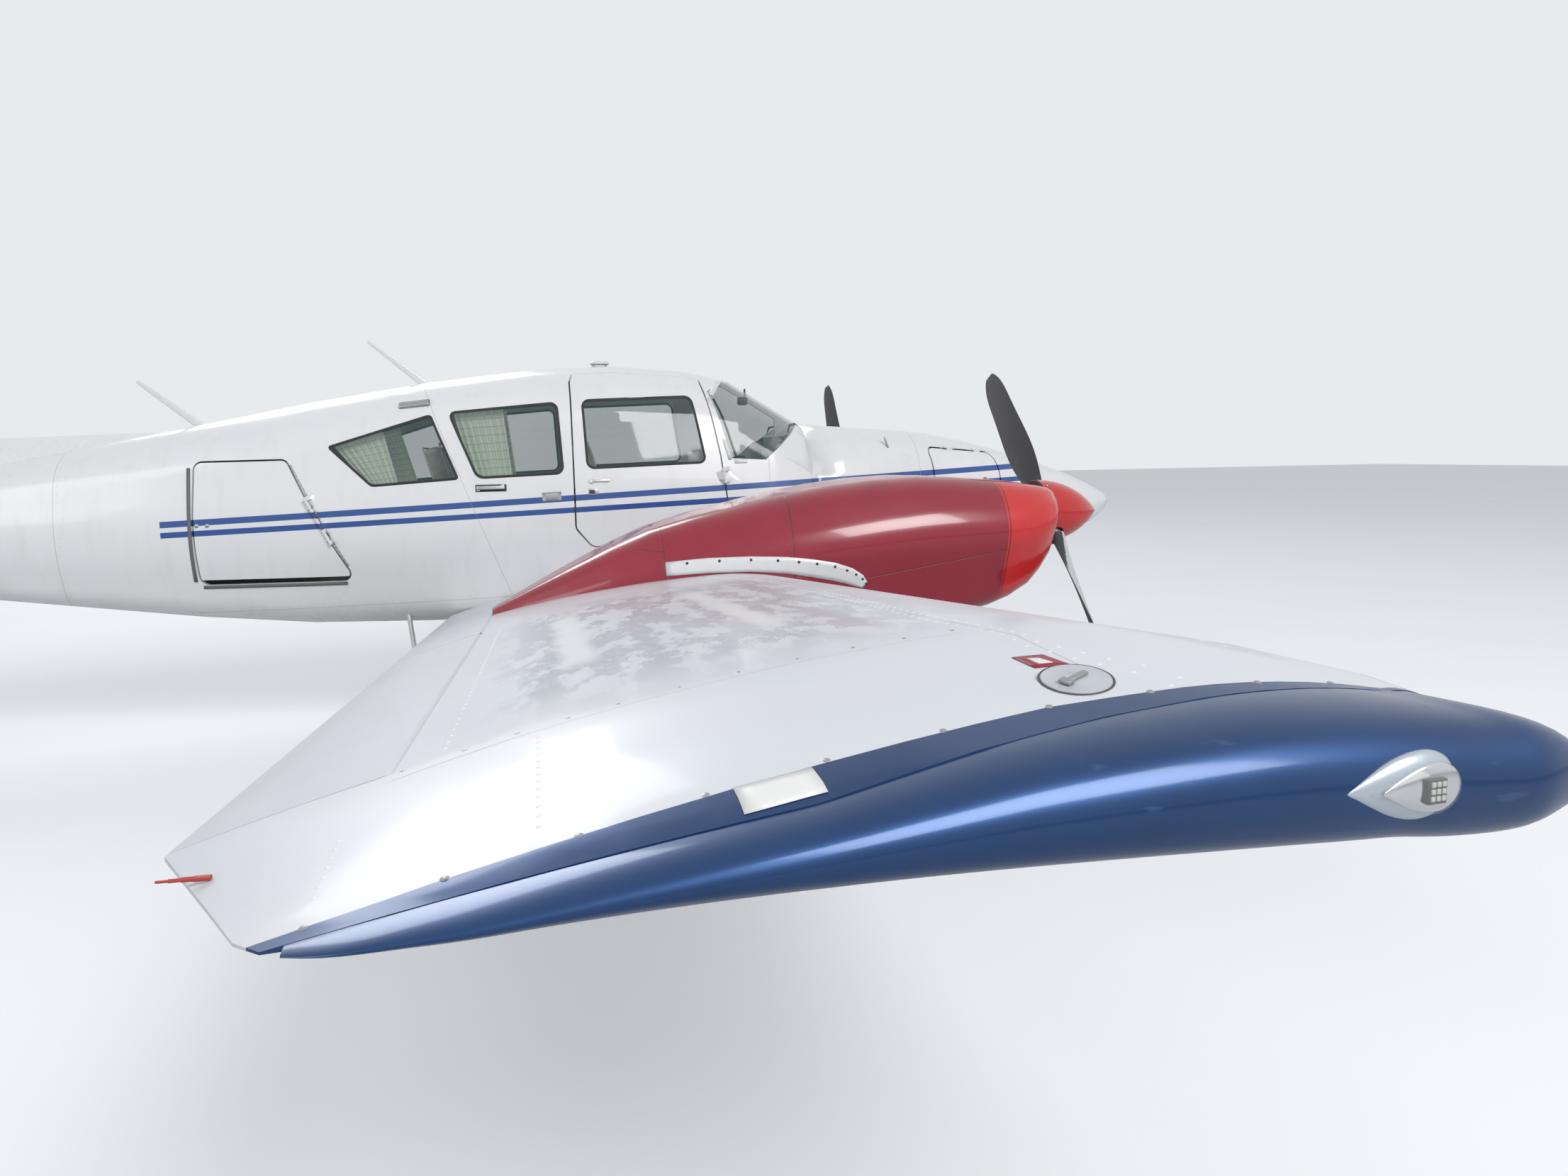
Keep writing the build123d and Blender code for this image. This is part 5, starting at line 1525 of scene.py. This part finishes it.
# %% Blade aerials and their feet
aerial_ends = (("aerial_front", (0.236, 1.948), (-0.078, 2.204)),
               ("aerial_rear", (-0.980, 1.722), (-1.296, 1.978)))
for node, foot, end in aerial_ends:
    blade, collar = bmesh.new(), bmesh.new()
    start, stop = Vector((foot[0], 0, foot[1])), Vector((end[0], 0, end[1]))
    along = (stop - start).normalized()
    chord = Vector((along.z, 0, -along.x))
    rows = []
    for step in range(9):
        share = step / 8
        middle = start.lerp(stop, share)
        wide, thick = 0.048 - 0.026 * share, 0.013 - 0.008 * share
        rows.append([middle + chord * cos(turn_by) * wide / 2 + Vector((0, 1, 0)) * sin(turn_by) * thick / 2
                     for turn_by in [2 * pi * number / 16 for number in range(17)]])
    ribbon(blade, rows)
    bmesh.ops.remove_doubles(blade, verts=blade.verts[:], dist=1e-5)
    bmesh.ops.holes_fill(blade, edges=[edge for edge in blade.edges if edge.is_boundary], sides=40)
    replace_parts(piece(f"{node}_blade", blade, trim_white), node)
    place, normal = down(body_skin, foot[0], 0)
    turned(collar, ((0.034, 0.0), (0.034, 0.003), (0.026, 0.007), (0, 0.008)),
           stand(place, normal) @ Matrix.Diagonal((1.3, 0.7, 1, 1)), 28)
    piece(f"{node}_foot", collar, trim_white)
print("aerials made")

# %% [markdown]
# ## Blank notice in the door's window
# A small pale square sticks to the inside of the glass, low down at the front. It has no text.

# %% Blank notice
pane_skin = skin("cabin_door_window")
pane_low, pane_high = [Vector(corner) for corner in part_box("cabin_door_window")]
notice = bmesh.new()
left_x, low_z, notice_size = pane_high.x - 0.100, pane_low.z + 0.022, 0.068
rows = []
for x in (left_x, left_x + notice_size / 2, left_x + notice_size):
    column = [inwards(pane_skin, x, low_z + notice_size * share, -1) for share in (0, 0.5, 1)]
    rows.append([place - normal * 0.0075 for place, normal in column])
ribbon(notice, rows)
thicken(piece("blank_notice", notice, plate_white, "cabin_door"), 0.0004)
print("notice stuck on")

# %% [markdown]
# ## Cockpit
# Through the windscreen one sees the panel with its round dials, two control wheels, the glare shield and a
# compass. A dial is a turned bezel with a dark face, and its marks are drawn by the face's material: the
# distance from the dial's middle and the angle round it pick short white lines and a needle.

# %% Dials, control wheels and compass
def dial_paint(middle):
    def paint(place):
        x, y, z = place.axes()
        across, up = y - middle[0], z - middle[1]
        reach = (across * across + up * up).root()
        angle = up.maths("ARCTAN2", up, across)
        marks = (angle * (12 / (2 * pi)) % 1 - 0.5).line(0.10, 0.03) * (reach - 0.030).line(0.004, 0.001)
        face_black, mark_white = colour(0.010, 0.010, 0.012), colour(0.75, 0.75, 0.70)
        needle = (across * 0.6 + up * 0.8).line(0.0012, 0.0004) * (1 - reach.rise(0.024, 0.025))
        return {
            "Base Color": (marks + needle).least(1.0).mix(face_black, mark_white),
            "Roughness": place.noise(60, 2) * 0.1 + 0.25,
            "Normal": (place.noise(300, 1) * 0.00002).bump(),
            "Coat Weight": 0.6,
        }
    return paint


bezel_black = finish("bezel_black", plain(colour(0.03, 0.03, 0.032), 0.45))
bezels, number = bmesh.new(), 0
panel_tree = skin("instrument_panel")
dial_rows = ((1.395, (-0.36, -0.27, -0.18, 0.09, 0.18, 0.27, 0.36)),
             (1.300, (-0.10, 0.0, 0.09, 0.18, 0.27, 0.36)))
for row_z, columns in dial_rows:
    for y in columns:
        place, normal = panel_tree.ray_cast(Vector((1.6, y, row_z)), Vector((1, 0, 0)))[:2]
        if place is None or place.x < 2.0:
            continue
        number += 1
        seat = Matrix.Translation(place) @ Matrix.Rotation(-pi / 2, 4, "Y")
        turned(bezels, ((0.036, 0.001), (0.036, 0.006), (0.041, 0.006), (0.043, 0.0)), seat, 28)
        face = bmesh.new()
        turned(face, ((0, 0.0025), (0.0365, 0.0025)), seat, 28)
        piece(f"dial_{number}", face, finish(f"dial_{number}", dial_paint((y, row_z))))
piece("dial_bezels", bezels, bezel_black)

horn_line = ((1.900, 0, 1.345), (1.893, 0.07, 1.338), (1.883, 0.125, 1.360), (1.873, 0.138, 1.405),
             (1.866, 0.130, 1.440))
wheels = bmesh.new()
for y in (-0.275, 0.275):
    hub = Matrix.Translation((1.905, y, 1.34)) @ Matrix.Rotation(pi / 2, 4, "Y")
    turned(wheels, ((0, 0.012), (0.024, 0.010), (0.030, 0.0), (0.024, -0.012), (0, -0.014)), hub, 20)
    for horn in (-1, 1):
        track = [Vector((x, y + horn * aside, z)) for x, aside, z in horn_line]
        for here, there in zip(track, track[1:]):
            rod(wheels, here, there, 0.011, extra=0.012, sides=12)
piece("control_wheels", wheels, bezel_black)

compass = bmesh.new()
bar(compass, Matrix.Translation((2.10, 0, 1.83)), (0.060, 0.055, 0.050), 0.012, 4)
bar(compass, Matrix.Translation((2.115, 0, 1.87)), (0.012, 0.012, 0.060), 0.004)
piece("compass", compass, bezel_black)
print("dials:", number)

# %% [markdown]
# ## Wheels
# Each main wheel gets a turned hub cap with bolts round it, which turn with the wheel.

# %% Hub caps and bolts
axle_x, axle_z, bolt_reach = 1.05, 0.238, 0.055
for side, sign in (("right", -1), ("left", 1)):
    low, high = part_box(f"main_wheel_{side}")
    outer = low[1] if sign < 0 else high[1]
    axle = Matrix.Translation((axle_x, outer, axle_z)) @ Matrix.Rotation(pi / 2 * -sign, 4, "X")
    cap, bolts = bmesh.new(), bmesh.new()
    turned(cap, ((0, 0.016), (0.016, 0.015), (0.024, 0.010), (0.028, 0.0)), axle, 28)
    piece(f"hub_cap_{side}", cap, wheel_finish, f"main_wheel_{side}")
    for step in range(6):
        turn_by = step * pi / 3
        spot = axle @ Matrix.Translation((bolt_reach * cos(turn_by), bolt_reach * sin(turn_by), -0.004))
        bmesh.ops.create_cone(bolts, cap_ends=True, segments=6, radius1=0.006, radius2=0.006, depth=0.008,
                              matrix=spot)
    piece(f"wheel_bolts_{side}", bolts, screw_steel, f"main_wheel_{side}")
print("wheels finished")
